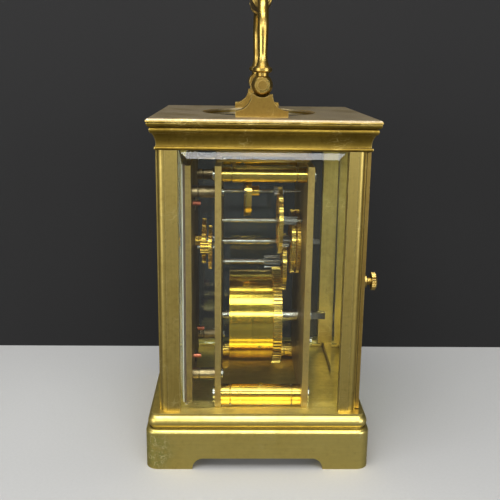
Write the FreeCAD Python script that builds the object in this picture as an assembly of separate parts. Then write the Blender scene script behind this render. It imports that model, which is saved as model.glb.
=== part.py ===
"""Carriage-style mantel clock, as separate pieces.

Millimetres. +X is the clock's own right side seen from the front, +Y its back, +Z up.
The origin is the middle of the footprint, on the surface that the clock stands on.
"""
import FreeCAD, Part
import os
from math import atan2, cos, degrees, hypot, pi, radians, sin, sqrt

V = FreeCAD.Vector
X_AXIS = V(1, 0, 0)
Y_AXIS = V(0, 1, 0)
Z_AXIS = V(0, 0, 1)

# ---- Case -------------------------------------------------------------------------------
CASE_WIDTH = 94.0
CASE_DEPTH = 90.2
CORNICE_SET_BACK = 1.4
CASE_HEIGHT = 140.0
CORNER = 4.8
FLOOR_UNDER = 15.5
FLOOR_TOP = 20.0
PILLAR_FOOT = 23.3
PILLAR_HEAD = 128.2
BASE_WALL = 4.5
RIM_IN_X = 38.0
RIM_IN_Y = 35.5
ARCH_HEIGHT = 4.7
ARCH_HALF_SIDE = 26.3
ARCH_HALF_FRONT = 29.0
ARCH_END = 3.8

PILLAR_SIZE = 8.3
PILLAR_FLAT = 4.8
REAR_PILLAR_TRIM = 1.15
PILLAR_STEP = 0.6
PILLAR_OUT_X = 43.0
PILLAR_OUT_Y = 39.65

GLASS_THICK = 2.7
GLASS_EDGE = 2.0
GLASS_LIP = 1.7
GLASS_BEVEL = 3.3
GROOVE_DEPTH = 1.6
GROOVE_PLAY = 0.05
SIDE_GLASS_X = 37.25
FRONT_GLASS_Y = 33.5

WINDOW_X = 27.0
WINDOW_Y = 23.7
ROOF_UNDER = 137.4
TOP_GLASS_LIP = 2.5

# ---- Handle -----------------------------------------------------------------------------
PIVOT_Z = 151.8
KNUCKLE_X = 33.6
KNUCKLE_R = 4.0
LUG_IN = 28.8
LUG_OUT = 30.6
BRACKET_OUT = 35.4
BRACKET_HALF = 9.95
PIVOT_R = 1.0
PIVOT_HEAD_R = 1.9
COLLAR_R = 3.65
ROD_R = 1.65
ROD_TOP_R = 2.0
BEND_R = 12.0
BEND_Z = 172.0
GRIP_HALF = 20.5
GRIP_R = 4.35

# ---- Back door --------------------------------------------------------------------------
DOOR_IN = 39.75
DOOR_OUT = 41.15
DOOR_GLASS_IN = 40.1
DOOR_GLASS_OUT = 40.85
DOOR_BEVEL_IN = 38.8
DOOR_HALF = 40.0
DOOR_FOOT = 23.7
DOOR_HEAD = 127.8
DOOR_STILE = 6.0
HINGE_X = -39.0
HINGE_Y = 40.45
HINGE_PIN_R = 0.5
RAIL_END = 28.0
KNOB_X = 37.0
KNOB_Z = 76.8
KNOB_R = 3.55
KNOB_END = 46.3
LATCH_REACH = 4.2

# ---- Movement frame ---------------------------------------------------------------------
PLATE_THICK = 2.5
PLATE_HALF = 31.0
PLATE_HEAD = 121.0
FRONT_PLATE = -15.2
BACK_PLATE = 18.6
PILLAR_X = 25.0
LOWER_PILLAR_Z = 23.8
UPPER_PILLAR_Z = 117.2
LOWER_PILLAR_R = 3.8
UPPER_PILLAR_R = 3.2
SPIGOT_R = 1.6
PLAY = 0.05
SEAT = 0.02

DIAL_PLATE_Y = -28.5
DIAL_PLATE_THICK = 1.4
DIAL_THICK = 1.5
DIAL_HALF = 31.5
DIAL_FOOT = 22.3
DIAL_HEAD = 121.7
POST_X = 24.0
POST_LOW_Z = 32.2
POST_HIGH_Z = 110.0
POST_R = 2.4

# ---- Train: where each arbor stands (x, z) and the teeth that it carries ------------------
BARREL = (0.0, 50.15)
INTERMEDIATE = (-9.5, 72.3)
CENTRE = (0.0, 84.2)
THIRD = (10.58, 95.64)
CONTRATE = (-1.0, 106.2)
MINUTE = (12.0, 84.2)

GREAT_TEETH, INTERMEDIATE_LEAVES = 80, 10
INTERMEDIATE_TEETH, CENTRE_LEAVES = 60, 12
CENTRE_TEETH, THIRD_LEAVES = 80, 10
THIRD_TEETH, CONTRATE_LEAVES = 75, 10
CONTRATE_TEETH, ESCAPE_LEAVES = 60, 6
CANNON_LEAVES, MINUTE_TEETH = 12, 36
MINUTE_LEAVES, HOUR_TEETH = 10, 40
RATCHET_TEETH = 24

# ---- Platform escapement ----------------------------------------------------------------
PLATFORM_Z = 121.0
PLATFORM_THICK = 1.6
PLATFORM_HALF = 17.0
ESCAPE_XY = (-1.0, -6.62)
LEVER_XY = (-1.0, -2.0)
BALANCE_XY = (-1.0, 5.2)
ESCAPE_R = 4.0
ESCAPE_TEETH = 15
BALANCE_R = 8.0
WHEEL_LEVEL = 123.8
COCK_LEVEL = 125.4
BALANCE_LEVEL = 127.6
BALANCE_COCK_LEVEL = 131.0


# ---- Shapes used throughout ---------------------------------------------------------------
def box(x0, x1, y0, y1, z0, z1):
    """Box between two corners."""
    return Part.makeBox(x1 - x0, y1 - y0, z1 - z0, V(x0, y0, z0))


def rod(radius, at, y0, y1):
    """Cylinder along Y at (x, z)."""
    return Part.makeCylinder(radius, y1 - y0, V(at[0], y0, at[1]), Y_AXIS)


def post(radius, at, z0, z1):
    """Cylinder along Z at (x, y)."""
    return Part.makeCylinder(radius, z1 - z0, V(at[0], at[1], z0), Z_AXIS)


def bar_x(radius, y, z, x0, x1):
    """Cylinder along X."""
    return Part.makeCylinder(radius, x1 - x0, V(x0, y, z), X_AXIS)


def union(shapes):
    """One solid from touching shapes, without seams."""
    return shapes[0].multiFuse(shapes[1:]).removeSplitter()


def group(solids):
    """Separate solids that share a node."""
    return Part.makeCompound(solids)


def prism(points, along):
    """Straight prism on a closed polygon."""
    return Part.Face(Part.makePolygon(points + points[:1])).extrude(along)


def turned(at, profile, axis="y"):
    """Round piece about an axis at `at`; the profile is (radius, place along the axis) points."""
    first, last = profile[0][1], profile[-1][1]
    outline = [(0.0, first)] + profile + [(0.0, last)]
    if axis == "y":
        points = [V(at[0] + radius, along, at[1]) for radius, along in outline]
        base, direction = V(at[0], 0, at[1]), Y_AXIS
    elif axis == "z":
        points = [V(at[0] + radius, at[1], along) for radius, along in outline]
        base, direction = V(at[0], at[1], 0), Z_AXIS
    else:
        points = [V(along, at[0] + radius, at[1]) for radius, along in outline]
        base, direction = V(0, at[0], at[1]), X_AXIS
    return Part.Face(Part.makePolygon(points + points[:1])).revolve(base, direction, 360)


def slotted_screw(at, head_r, shank_r, y_head, y_tip):
    """Cheese-head screw along Y; its head's outer face is at y_head."""
    way = 1 if y_tip > y_head else -1
    head_depth = 0.9
    under = y_head + way * head_depth
    head = rod(head_r, at, min(y_head, under), max(y_head, under))
    shank = rod(shank_r, at, min(under, y_tip), max(under, y_tip))
    slot_floor = y_head + way * 0.4
    slot = box(at[0] - head_r, at[0] + head_r, min(y_head, slot_floor), max(y_head, slot_floor),
               at[1] - 0.22, at[1] + 0.22)
    return union([head, shank]).cut(slot)


def upright_screw(at, head_r, shank_r, z_head, z_tip):
    """Cheese-head screw along Z; its head's outer face is at z_head."""
    way = 1 if z_tip > z_head else -1
    under = z_head + way * 0.8
    head = post(head_r, at, min(z_head, under), max(z_head, under))
    shank = post(shank_r, at, min(under, z_tip), max(under, z_tip))
    slot_floor = z_head + way * 0.35
    slot = box(at[0] - head_r, at[0] + head_r, at[1] - 0.2, at[1] + 0.2,
               min(z_head, slot_floor), max(z_head, slot_floor))
    return union([head, shank]).cut(slot)


# ---- Mouldings ----------------------------------------------------------------------------
def side_edges(steps, place):
    """Edges up one side of a moulding; a step is (inset, z), or (inset, z, via inset, via z)."""
    edges = []
    last = place(steps[0][0], steps[0][1])
    for step in steps[1:]:
        end = place(step[0], step[1])
        if len(step) == 4:
            edges.append(Part.Arc(last, place(step[2], step[3]), end).toShape())
        else:
            edges.append(Part.LineSegment(last, end).toShape())
        last = end
    return edges


def closed_face(edges_a, edges_b):
    """Face between two rising sides that share their first and last heights."""
    ends = []
    for place in (0, -1):
        a = edges_a[place].Vertexes[place].Point
        b = edges_b[place].Vertexes[place].Point
        ends.append(Part.LineSegment(a, b).toShape())
    return Part.Face(Part.Wire(Part.__sortEdges__(edges_a + edges_b + ends)))


def moulded_block(width, depth, corner, steps):
    """Solid block with rounded corners and the same moulding on its four sides."""
    half_x, half_y = width / 2, depth / 2
    run_y = half_y - corner
    run_x = half_x - corner
    right = side_edges(steps, lambda inset, z: V(half_x - inset, -run_y, z))
    left = side_edges(steps, lambda inset, z: V(inset - half_x, -run_y, z))
    solids = [closed_face(right, left).extrude(V(0, 2 * run_y, 0))]
    back = side_edges(steps, lambda inset, z: V(-run_x, half_y - inset, z))
    front = side_edges(steps, lambda inset, z: V(-run_x, inset - half_y, z))
    solids.append(closed_face(back, front).extrude(V(2 * run_x, 0, 0)))
    outer = side_edges(steps, lambda inset, z: V(corner - inset, 0, z))
    bottom, top = V(0, 0, steps[0][1]), V(0, 0, steps[-1][1])
    spine = Part.LineSegment(bottom, top).toShape()
    closing = [Part.LineSegment(bottom, outer[0].Vertexes[0].Point).toShape(),
               Part.LineSegment(top, outer[-1].Vertexes[-1].Point).toShape()]
    face = Part.Face(Part.Wire(Part.__sortEdges__(outer + closing + [spine])))
    round_corner = face.revolve(V(0, 0, 0), Z_AXIS, 360)
    for x in (-run_x, run_x):
        for y in (-run_y, run_y):
            solids.append(round_corner.translated(V(x, y, 0)))
    return union(solids)


def mitred_block(width, depth, steps):
    """Solid block whose four mouldings meet in sharp mitres."""
    half_x, half_y = width / 2, depth / 2
    right = side_edges(steps, lambda inset, z: V(half_x - inset, -half_y, z))
    left = side_edges(steps, lambda inset, z: V(inset - half_x, -half_y, z))
    back = side_edges(steps, lambda inset, z: V(-half_x, half_y - inset, z))
    front = side_edges(steps, lambda inset, z: V(-half_x, inset - half_y, z))
    along = closed_face(right, left).extrude(V(0, depth, 0))
    return along.common(closed_face(back, front).extrude(V(width, 0, 0)))


def arch(half, across_x):
    """Cutter for the arched gap between two feet, through both opposite walls."""
    reach = CASE_WIDTH
    inner = half - ARCH_END

    def place(along, z):
        return V(along, -reach, z) if across_x else V(-reach, along, z)

    edges = [
        Part.LineSegment(place(-half, -1), place(-half, 0)).toShape(),
        Part.Arc(place(-half, 0), place(-half + 0.3 * ARCH_END, 0.7 * ARCH_HEIGHT),
                 place(-inner, ARCH_HEIGHT)).toShape(),
        Part.LineSegment(place(-inner, ARCH_HEIGHT), place(inner, ARCH_HEIGHT)).toShape(),
        Part.Arc(place(inner, ARCH_HEIGHT), place(half - 0.3 * ARCH_END, 0.7 * ARCH_HEIGHT),
                 place(half, 0)).toShape(),
        Part.LineSegment(place(half, 0), place(half, -1)).toShape(),
        Part.LineSegment(place(half, -1), place(-half, -1)).toShape(),
    ]
    along = V(0, 2 * reach, 0) if across_x else V(2 * reach, 0, 0)
    return Part.Face(Part.Wire(edges)).extrude(along)


def glass_slots(z0, z1):
    """Cutters for the three glass grooves between two heights, at their full size."""
    edge = GLASS_EDGE + GROOVE_PLAY
    reach_front = PILLAR_OUT_Y - PILLAR_SIZE + GROOVE_DEPTH + GROOVE_PLAY
    reach_back = reach_front + REAR_PILLAR_TRIM
    reach_x = PILLAR_OUT_X - PILLAR_SIZE + GROOVE_DEPTH + GROOVE_PLAY
    slots = []
    for side in (-1, 1):
        near, far = sorted((side * (SIDE_GLASS_X - GROOVE_PLAY), side * (SIDE_GLASS_X + edge)))
        slots.append(box(near, far, -reach_front, reach_back, z0, z1))
    slots.append(box(-reach_x, reach_x, -FRONT_GLASS_Y - edge, -FRONT_GLASS_Y + GROOVE_PLAY, z0, z1))
    return slots


def base_moulding():
    """Cast base: plinth on four feet, beads above, floor for the movement inside."""
    steps = [(0, 0), (0, 15.2), (1.6, 16.9, 0.42, 16.45), (2.1, 16.9), (2.1, 17.3),
             (2.3, 22.3, 0.85, 19.7), (2.3, PILLAR_FOOT)]
    body = moulded_block(CASE_WIDTH, CASE_DEPTH, CORNER, steps)
    inner_x, inner_y = CASE_WIDTH / 2 - BASE_WALL, CASE_DEPTH / 2 - BASE_WALL
    cutters = [box(-inner_x, inner_x, -inner_y, inner_y, -1, FLOOR_UNDER),
               box(-RIM_IN_X, RIM_IN_X, -RIM_IN_Y, RIM_IN_Y, FLOOR_TOP, PILLAR_FOOT + 1),
               arch(ARCH_HALF_SIDE, False), arch(ARCH_HALF_FRONT, True),
               post(HINGE_PIN_R + PLAY, (HINGE_X, HINGE_Y), 21.0, PILLAR_FOOT + 1)]
    cutters += glass_slots(PILLAR_FOOT - GROOVE_DEPTH, PILLAR_FOOT + 1)
    for x, y in case_screw_places():
        cutters.append(post(1.3, (x, y), FLOOR_UNDER - 1, PILLAR_FOOT + 1))
    for x in (-PILLAR_X, PILLAR_X):
        cutters.append(post(1.5, (x, seat_screw_y()), FLOOR_UNDER - 1, FLOOR_TOP + 1))
    return body.cut(cutters)


def cornice():
    """Top moulding with the oval window, and the rail that carries the door's upper pin."""
    steps = [(4.4, PILLAR_HEAD), (4.4, 129.6, 3.85, 128.9), (3.1, 134.5, 4.1, 132.6),
             (2.8, 134.5), (2.8, 136.7, 2.25, 135.6), (1.4, 138.3, 1.6, 137.3),
             (1.95, 138.3), (1.95, 138.65), (1.1, 138.65), (2.4, CASE_HEIGHT, 1.5, 139.6)]
    body = mitred_block(CASE_WIDTH, CASE_DEPTH - CORNICE_SET_BACK, steps)
    body.translate(V(0, CORNICE_SET_BACK / 2, 0))
    rail = box(-41.5, RAIL_END, RIM_IN_Y + 1, DOOR_OUT + 0.2, PILLAR_HEAD, 131.0)
    body = union([body, rail])
    cutters = [box(-RIM_IN_X, RIM_IN_X, -RIM_IN_Y, RIM_IN_Y, PILLAR_HEAD - 1, ROOF_UNDER),
               oval(WINDOW_X, WINDOW_Y, ROOF_UNDER - 1, CASE_HEIGHT + 1),
               post(HINGE_PIN_R + PLAY, (HINGE_X, HINGE_Y), PILLAR_HEAD - 1, 130.2)]
    cutters += glass_slots(PILLAR_HEAD - 1, PILLAR_HEAD + GROOVE_DEPTH)
    for x, y in bracket_screw_places():
        cutters.append(post(1.0, (x, y), ROOF_UNDER - 1, CASE_HEIGHT + 1))
    return body.cut(cutters)


def oval(half_x, half_y, z0, z1):
    """Upright oval column on the clock's centre line."""
    ellipse = Part.Ellipse(V(0, 0, z0), half_x, half_y).toShape()
    return Part.Face(Part.Wire(ellipse)).extrude(V(0, 0, z1 - z0))


def top_glass():
    """Oval plate of glass under the roof, its bevelled face filling the window."""
    lip = oval(WINDOW_X + TOP_GLASS_LIP, WINDOW_Y + TOP_GLASS_LIP, ROOF_UNDER - 1.3, ROOF_UNDER)
    rim = Part.Wire(Part.Ellipse(V(0, 0, ROOF_UNDER), WINDOW_X - 0.1, WINDOW_Y - 0.1).toShape())
    crown = Part.Wire(Part.Ellipse(V(0, 0, ROOF_UNDER + 1.4), WINDOW_X - 3.1, WINDOW_Y - 3.1).toShape())
    return union([lip, Part.makeLoft([rim, crown], True)])


def bevelled_pane(width, height):
    """Pane in the XZ plane, flat at y = 0, with a thin lip and four bevels on the -Y side."""
    flat = box(-width / 2, width / 2, -GLASS_EDGE, 0, 0, height)
    bevel_end = GLASS_LIP + GLASS_BEVEL
    low = Part.makePolygon([V(x, -GLASS_EDGE, z) for x, z in corners(width, height, GLASS_LIP)])
    high = Part.makePolygon([V(x, -GLASS_THICK, z) for x, z in corners(width, height, bevel_end)])
    return union([flat, Part.makeLoft([low, high], True, True)])


def corners(width, height, inset):
    """Closed rectangle of (x, z) points."""
    x, z0, z1 = width / 2 - inset, inset, height - inset
    return [(-x, z0), (x, z0), (x, z1), (-x, z1), (-x, z0)]


def case_panes():
    """Front, left and right panes of bevelled glass."""
    low = PILLAR_FOOT - GROOVE_DEPTH + GROOVE_PLAY
    height = PILLAR_HEAD - PILLAR_FOOT + 2 * (GROOVE_DEPTH - GROOVE_PLAY)
    side_width = 2 * (PILLAR_OUT_Y - PILLAR_SIZE + GROOVE_DEPTH) + REAR_PILLAR_TRIM
    front_width = 2 * (PILLAR_OUT_X - PILLAR_SIZE + GROOVE_DEPTH)
    front = bevelled_pane(front_width, height).translated(V(0, -FRONT_GLASS_Y, low))
    panes = {"front_glass": front}
    for name, side in (("left_glass", -1), ("right_glass", 1)):
        pane = bevelled_pane(side_width, height)
        pane.rotate(V(0, 0, 0), Z_AXIS, side * 90)
        panes[name] = pane.translated(V(side * SIDE_GLASS_X, REAR_PILLAR_TRIM / 2, low))
    return panes


def corner_pillar(side_x, side_y):
    """Square pillar with a quarter-round between two fillets; the rear ones are shallower inside."""
    size, flat, step = PILLAR_SIZE, PILLAR_FLAT, PILLAR_STEP
    moulding = size - flat
    round_r = moulding - 2 * step
    inner = REAR_PILLAR_TRIM if side_y > 0 else 0

    def place(x, y):
        return V(side_x * (PILLAR_OUT_X - size + x), side_y * (PILLAR_OUT_Y - size + y), PILLAR_FOOT)

    centre = size - step - round_r
    middle = centre + round_r * sin(radians(45))
    outline = [
        ((0, inner), (size, inner)), ((size, inner), (size, flat)), ((size, flat), (size - step, flat)),
        ((size - step, flat), (size - step, centre)),
        ((size - step, centre), (middle, middle), (centre, size - step)),
        ((centre, size - step), (flat, size - step)), ((flat, size - step), (flat, size)),
        ((flat, size), (0, size)), ((0, size), (0, inner)),
    ]
    edges = []
    for piece in outline:
        points = [place(*point) for point in piece]
        if len(points) == 3:
            edges.append(Part.Arc(*points).toShape())
        elif points[0].distanceToPoint(points[1]) > 1e-6:
            edges.append(Part.LineSegment(*points).toShape())
    body = Part.Face(Part.Wire(edges)).extrude(V(0, 0, PILLAR_HEAD - PILLAR_FOOT))
    cutters = glass_slots(PILLAR_FOOT - 1, PILLAR_HEAD + 1)
    hole = (side_x * screw_x(), side_y * screw_y())
    cutters.append(post(1.05, hole, PILLAR_FOOT - 1, PILLAR_FOOT + 8))
    if side_x > 0 and side_y > 0:
        cutters.append(box(KNOB_X - 1.3, KNOB_X + 1.3, 36.9, DOOR_IN, KNOB_Z - 1.6, KNOB_Z + LATCH_REACH + 0.4))
        cutters.append(box(KNOB_X, KNOB_X + LATCH_REACH + 0.4, 36.9, 38.6,
                           KNOB_Z - 1.3, KNOB_Z + LATCH_REACH + 0.4))
    return body.cut(cutters)


def screw_x():
    """Distance of a corner pillar's screw from the clock's middle, along X."""
    return PILLAR_OUT_X - PILLAR_SIZE / 2 + 0.8


def screw_y():
    """Distance of a corner pillar's screw from the clock's middle, along Y."""
    return PILLAR_OUT_Y - PILLAR_SIZE / 2 + 0.8


def case_screw_places():
    """(x, y) of the four screws that hold the corner pillars to the base."""
    return [(sx * screw_x(), sy * screw_y()) for sx in (-1, 1) for sy in (-1, 1)]


def bracket_screw_places():
    """(x, y) of the screws that hold the handle's brackets to the cornice."""
    x = (LUG_IN + BRACKET_OUT) / 2
    return [(sx * x, sy * 6.0) for sx in (-1, 1) for sy in (-1, 1)]


def seat_screw_y():
    """Middle of the movement's lower pillars."""
    return (FRONT_PLATE + BACK_PLATE) / 2


def case_screws():
    """Screws under the base and under the cornice's roof."""
    screws = [upright_screw(at, 2.2, 1.0, FLOOR_UNDER - 0.8, PILLAR_FOOT + 7.5)
              for at in case_screw_places()]
    screws += [upright_screw(at, 1.8, 0.95, ROOF_UNDER - 0.8, CASE_HEIGHT + 2.0)
               for at in bracket_screw_places()]
    return group(screws)


# ---- Handle -------------------------------------------------------------------------------
def bracket(side):
    """Foot on the cornice with hollow shoulders, a lug, and the handle's pivot screw."""
    seat_r = KNUCKLE_R + 0.5
    horn_in, horn_out = 3.0, 4.0
    horn_z = PIVOT_Z - sqrt(seat_r ** 2 - horn_in ** 2)
    foot_z = CASE_HEIGHT + 2.4
    x_in = LUG_IN

    def place(y, z):
        return V(x_in, y, z)

    def shoulder(way):
        return Part.Arc(place(way * horn_out, horn_z), place(way * 5.6, 144.2),
                        place(way * (BRACKET_HALF - 0.5), foot_z)).toShape()

    edges = [
        Part.LineSegment(place(-BRACKET_HALF, CASE_HEIGHT), place(BRACKET_HALF, CASE_HEIGHT)).toShape(),
        Part.LineSegment(place(BRACKET_HALF, CASE_HEIGHT), place(BRACKET_HALF, foot_z)).toShape(),
        Part.LineSegment(place(BRACKET_HALF, foot_z), place(BRACKET_HALF - 0.5, foot_z)).toShape(),
        shoulder(1),
        Part.LineSegment(place(horn_out, horn_z), place(horn_in, horn_z)).toShape(),
        Part.Arc(place(horn_in, horn_z), place(0, PIVOT_Z - seat_r), place(-horn_in, horn_z)).toShape(),
        Part.LineSegment(place(-horn_in, horn_z), place(-horn_out, horn_z)).toShape(),
        shoulder(-1),
        Part.LineSegment(place(-BRACKET_HALF + 0.5, foot_z), place(-BRACKET_HALF, foot_z)).toShape(),
        Part.LineSegment(place(-BRACKET_HALF, foot_z), place(-BRACKET_HALF, CASE_HEIGHT)).toShape(),
    ]
    face = Part.Face(Part.Wire(Part.__sortEdges__(edges)))
    foot = face.extrude(V(BRACKET_OUT - LUG_IN, 0, 0))
    lug = union([bar_x(3.6, 0, PIVOT_Z, LUG_IN, LUG_OUT),
                 box(LUG_IN, LUG_OUT, -3.0, 3.0, 146.0, PIVOT_Z)])
    pin = bar_x(PIVOT_R, 0, PIVOT_Z, LUG_OUT - 0.5, 37.0)
    head = bar_x(PIVOT_HEAD_R, 0, PIVOT_Z, 36.55, 37.2)
    holes = [post(1.0, (x, y), CASE_HEIGHT - 1, CASE_HEIGHT + 2.1)
             for x, y in bracket_screw_places() if x > 0]
    whole = union([foot, lug, pin, head]).cut(holes)
    return whole if side > 0 else whole.mirror(V(0, 0, 0), X_AXIS)


def handle_arm():
    """Right-hand arm: knuckle, collar and a rod that bends in to the grip."""
    ball = Part.makeSphere(KNUCKLE_R, V(KNUCKLE_X, 0, PIVOT_Z))
    ball = ball.common(box(LUG_OUT + 0.3, 36.45, -9, 9, 140, 170))
    neck = turned((KNUCKLE_X, 0), [(2.3, PIVOT_Z + 2.6), (2.3, 156.3), (COLLAR_R - 0.6, 156.4),
                                   (COLLAR_R, 156.9), (COLLAR_R, 157.9), (COLLAR_R - 0.7, 158.4),
                                   (2.5, 158.6), (2.0, 160.2), (ROD_R, 162.5), (ROD_TOP_R, BEND_Z)], "z")
    section = Part.Face(Part.Wire(Part.Circle(V(KNUCKLE_X, 0, BEND_Z), Z_AXIS, ROD_TOP_R).toShape()))
    bend_centre = V(KNUCKLE_X - BEND_R, 0, BEND_Z)
    bend = section.revolve(bend_centre, V(0, -1, 0), 90)
    tail = bar_x(ROD_TOP_R, 0, BEND_Z + BEND_R, GRIP_HALF - 1.0, KNUCKLE_X - BEND_R)
    bore = bar_x(PIVOT_R + PLAY, 0, PIVOT_Z, 20, 40)
    return union([ball, neck, bend, tail]).cut(bore)


def handle_grip():
    """Turned grip with a swelling middle and rings at both ends, bored for the arms."""
    z = BEND_Z + BEND_R
    half = [(2.7, GRIP_HALF), (3.3, 20.1), (3.3, 19.3), (2.6, 18.9), (2.6, 18.3), (3.7, 17.9),
            (3.9, 17.2), (3.7, 16.5), (2.7, 16.1), (2.9, 14.6), (3.6, 11.4), (GRIP_R - 0.2, 7.0),
            (GRIP_R, 2.2), (3.9, 1.9), (3.9, 1.4), (GRIP_R, 1.1), (GRIP_R, 0.0)]
    profile = [(radius, -x) for radius, x in half] + [(radius, x) for radius, x in reversed(half[:-1])]
    body = turned((0, z), profile, "x")
    bores = [bar_x(ROD_TOP_R + SEAT, 0, z, GRIP_HALF - 1.02, GRIP_HALF + 1),
             bar_x(ROD_TOP_R + SEAT, 0, z, -GRIP_HALF - 1, -GRIP_HALF + 1.02)]
    return body.cut(bores)


# ---- Back door ----------------------------------------------------------------------------
def door_frame():
    """Brass frame with a rounded hinge edge, a glass groove, and its two hinge pins."""
    knuckle_r = (DOOR_OUT - DOOR_IN) / 2
    leaf = union([box(HINGE_X, DOOR_HALF, DOOR_IN, DOOR_OUT, DOOR_FOOT, DOOR_HEAD),
                  post(knuckle_r, (HINGE_X, HINGE_Y), DOOR_FOOT, DOOR_HEAD)])
    inner = DOOR_HALF - DOOR_STILE
    glass_reach = inner + 1.2
    low, high = DOOR_FOOT + DOOR_STILE, DOOR_HEAD - DOOR_STILE
    opening = box(-inner, inner, DOOR_IN - 1, DOOR_OUT + 1, low, high)
    groove = box(-glass_reach, glass_reach, DOOR_GLASS_IN - GROOVE_PLAY, DOOR_GLASS_OUT + GROOVE_PLAY,
                 low - 1.2, high + 1.2)
    stem_hole = rod(1.25, (KNOB_X, KNOB_Z), DOOR_IN - 1, DOOR_OUT + 1)
    leaf = leaf.cut([opening, groove, stem_hole])
    pins = [post(HINGE_PIN_R, (HINGE_X, HINGE_Y), 21.3, DOOR_FOOT),
            post(HINGE_PIN_R, (HINGE_X, HINGE_Y), DOOR_HEAD, 129.9)]
    return union([leaf] + pins)


def door_glass():
    """Bevelled pane in the door's groove, its bevels towards the movement."""
    inner = DOOR_HALF - DOOR_STILE
    reach = inner + 1.15
    low, high = DOOR_FOOT + DOOR_STILE - 1.15, DOOR_HEAD - DOOR_STILE + 1.15
    height = high - low
    flat = box(-reach, reach, DOOR_GLASS_IN, DOOR_GLASS_OUT, low, high)
    near = Part.makePolygon([V(x, DOOR_GLASS_IN, low + z) for x, z in corners(2 * reach, height, 1.25)])
    far = Part.makePolygon([V(x, DOOR_BEVEL_IN, low + z) for x, z in corners(2 * reach, height, 3.9)])
    return union([flat, Part.makeLoft([near, far], True, True)])


def door_knob():
    """Knurled head and stem, with the latch tongue standing upright behind the pillar."""
    at = (KNOB_X, KNOB_Z)
    ridges = 24
    outline = []
    for step in range(2 * ridges):
        radius = KNOB_R if step % 2 else KNOB_R - 0.28
        angle = pi * step / ridges
        outline.append(V(KNOB_X + radius * cos(angle), 44.0, KNOB_Z + radius * sin(angle)))
    head = prism(outline, V(0, 1.5, 0))
    crown = turned(at, [(3.1, 45.5), (2.7, 46.0), (1.6, KNOB_END)])
    stem = turned(at, [(1.2, 37.2), (1.2, DOOR_OUT + 0.15), (2.6, DOOR_OUT + 0.15),
                       (2.6, 42.0), (1.5, 42.5), (1.5, 44.0)])
    tongue = union([box(KNOB_X - 1.0, KNOB_X + 1.0, 37.2, 38.3, KNOB_Z, KNOB_Z + LATCH_REACH - 0.6),
                    box(KNOB_X - 0.6, KNOB_X + 0.6, 37.2, 38.3, KNOB_Z, KNOB_Z + LATCH_REACH)])
    return union([head, crown, stem, tongue])


# ---- Teeth --------------------------------------------------------------------------------
def ring_point(at, radius, angle, y):
    """Point in an XZ plane at an angle from +X towards +Z."""
    return V(at[0] + radius * cos(angle), y, at[1] + radius * sin(angle))


def wheel_outline(teeth, module, mate_leaves, phase):
    """(radius, angle) outline of a clock wheel; its teeth round off as a pinion needs."""
    pitch_r = teeth * module / 2
    rolling_r = mate_leaves * module / 4
    half = 0.235 * 2 * pi / teeth
    root_r = pitch_r - 1.25 * module
    rise = []
    for step in (0.0, 0.45, 0.75, 1.0):
        roll = step * 1.32 * module / pitch_r * sqrt(mate_leaves / 8.0)
        swing = (pitch_r + rolling_r) / rolling_r * roll
        x = (pitch_r + rolling_r) * cos(roll) - rolling_r * cos(swing)
        z = (pitch_r + rolling_r) * sin(roll) - rolling_r * sin(swing)
        turn = atan2(z, x)
        if turn < half * 0.8:
            rise.append((hypot(x, z), half - turn))
    side = [(root_r, half)] + rise
    tooth = [(radius, -angle) for radius, angle in side] + [point for point in reversed(side)]
    outline = []
    for number in range(teeth):
        centre = phase + 2 * pi * number / teeth
        outline += [(radius, centre + angle) for radius, angle in tooth]
    return outline


def pinion_outline(leaves, module, phase):
    """(radius, angle) outline of a pinion with radial leaves and rounded tips."""
    pitch_r = leaves * module / 2
    half = 0.19 * 2 * pi / leaves
    root_r = pitch_r - 1.35 * module
    side = [(root_r, half * 0.95), (pitch_r, half), (pitch_r + 0.32 * module, half * 0.72),
            (pitch_r + 0.5 * module, half * 0.3)]
    leaf = [(radius, -angle) for radius, angle in side] + [point for point in reversed(side)]
    outline = []
    for number in range(leaves):
        centre = phase + 2 * pi * number / leaves
        outline += [(radius, centre + angle) for radius, angle in leaf]
    return outline


def toothed(at, outline, y0, y1):
    """Toothed disc from its outline, between two places along Y."""
    return prism([ring_point(at, radius, angle, y0) for radius, angle in outline], V(0, y1 - y0, 0))


def faceted_hole(at, radius, y0, y1, sides=16):
    """Cutter whose flats just clear a shaft of the given radius."""
    reach = radius / cos(pi / sides)
    points = [ring_point(at, reach, 2 * pi * (n + 0.5) / sides, y0) for n in range(sides)]
    return prism(points, V(0, y1 - y0, 0))


def crossings(at, hub_r, rim_r, spokes, spoke_width, y0, y1, start=0.0):
    """Cutters that leave a rim, a hub and straight spokes."""
    cutters = []
    arc_steps = 6
    for number in range(spokes):
        left = start + 2 * pi * number / spokes
        right = left + 2 * pi / spokes
        inner_lean = spoke_width / 2 / hub_r
        outer_lean = spoke_width / 2 / rim_r
        points = [ring_point(at, hub_r, left + inner_lean, y0)]
        for step in range(arc_steps + 1):
            share = step / arc_steps
            angle = (left + outer_lean) * (1 - share) + (right - outer_lean) * share
            points.append(ring_point(at, rim_r, angle, y0))
        points.append(ring_point(at, hub_r, right - inner_lean, y0))
        cutters.append(prism(points, V(0, y1 - y0, 0)))
    return cutters


def mesh(at_a, at_b, teeth_a, teeth_b):
    """Module of a pair, the phase that aims a tooth of a at b, and the phase of b's gap."""
    across, up = at_b[0] - at_a[0], at_b[1] - at_a[1]
    module = 2 * hypot(across, up) / (teeth_a + teeth_b)
    aim = atan2(up, across)
    return module, aim, aim + pi + pi / teeth_b


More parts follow.
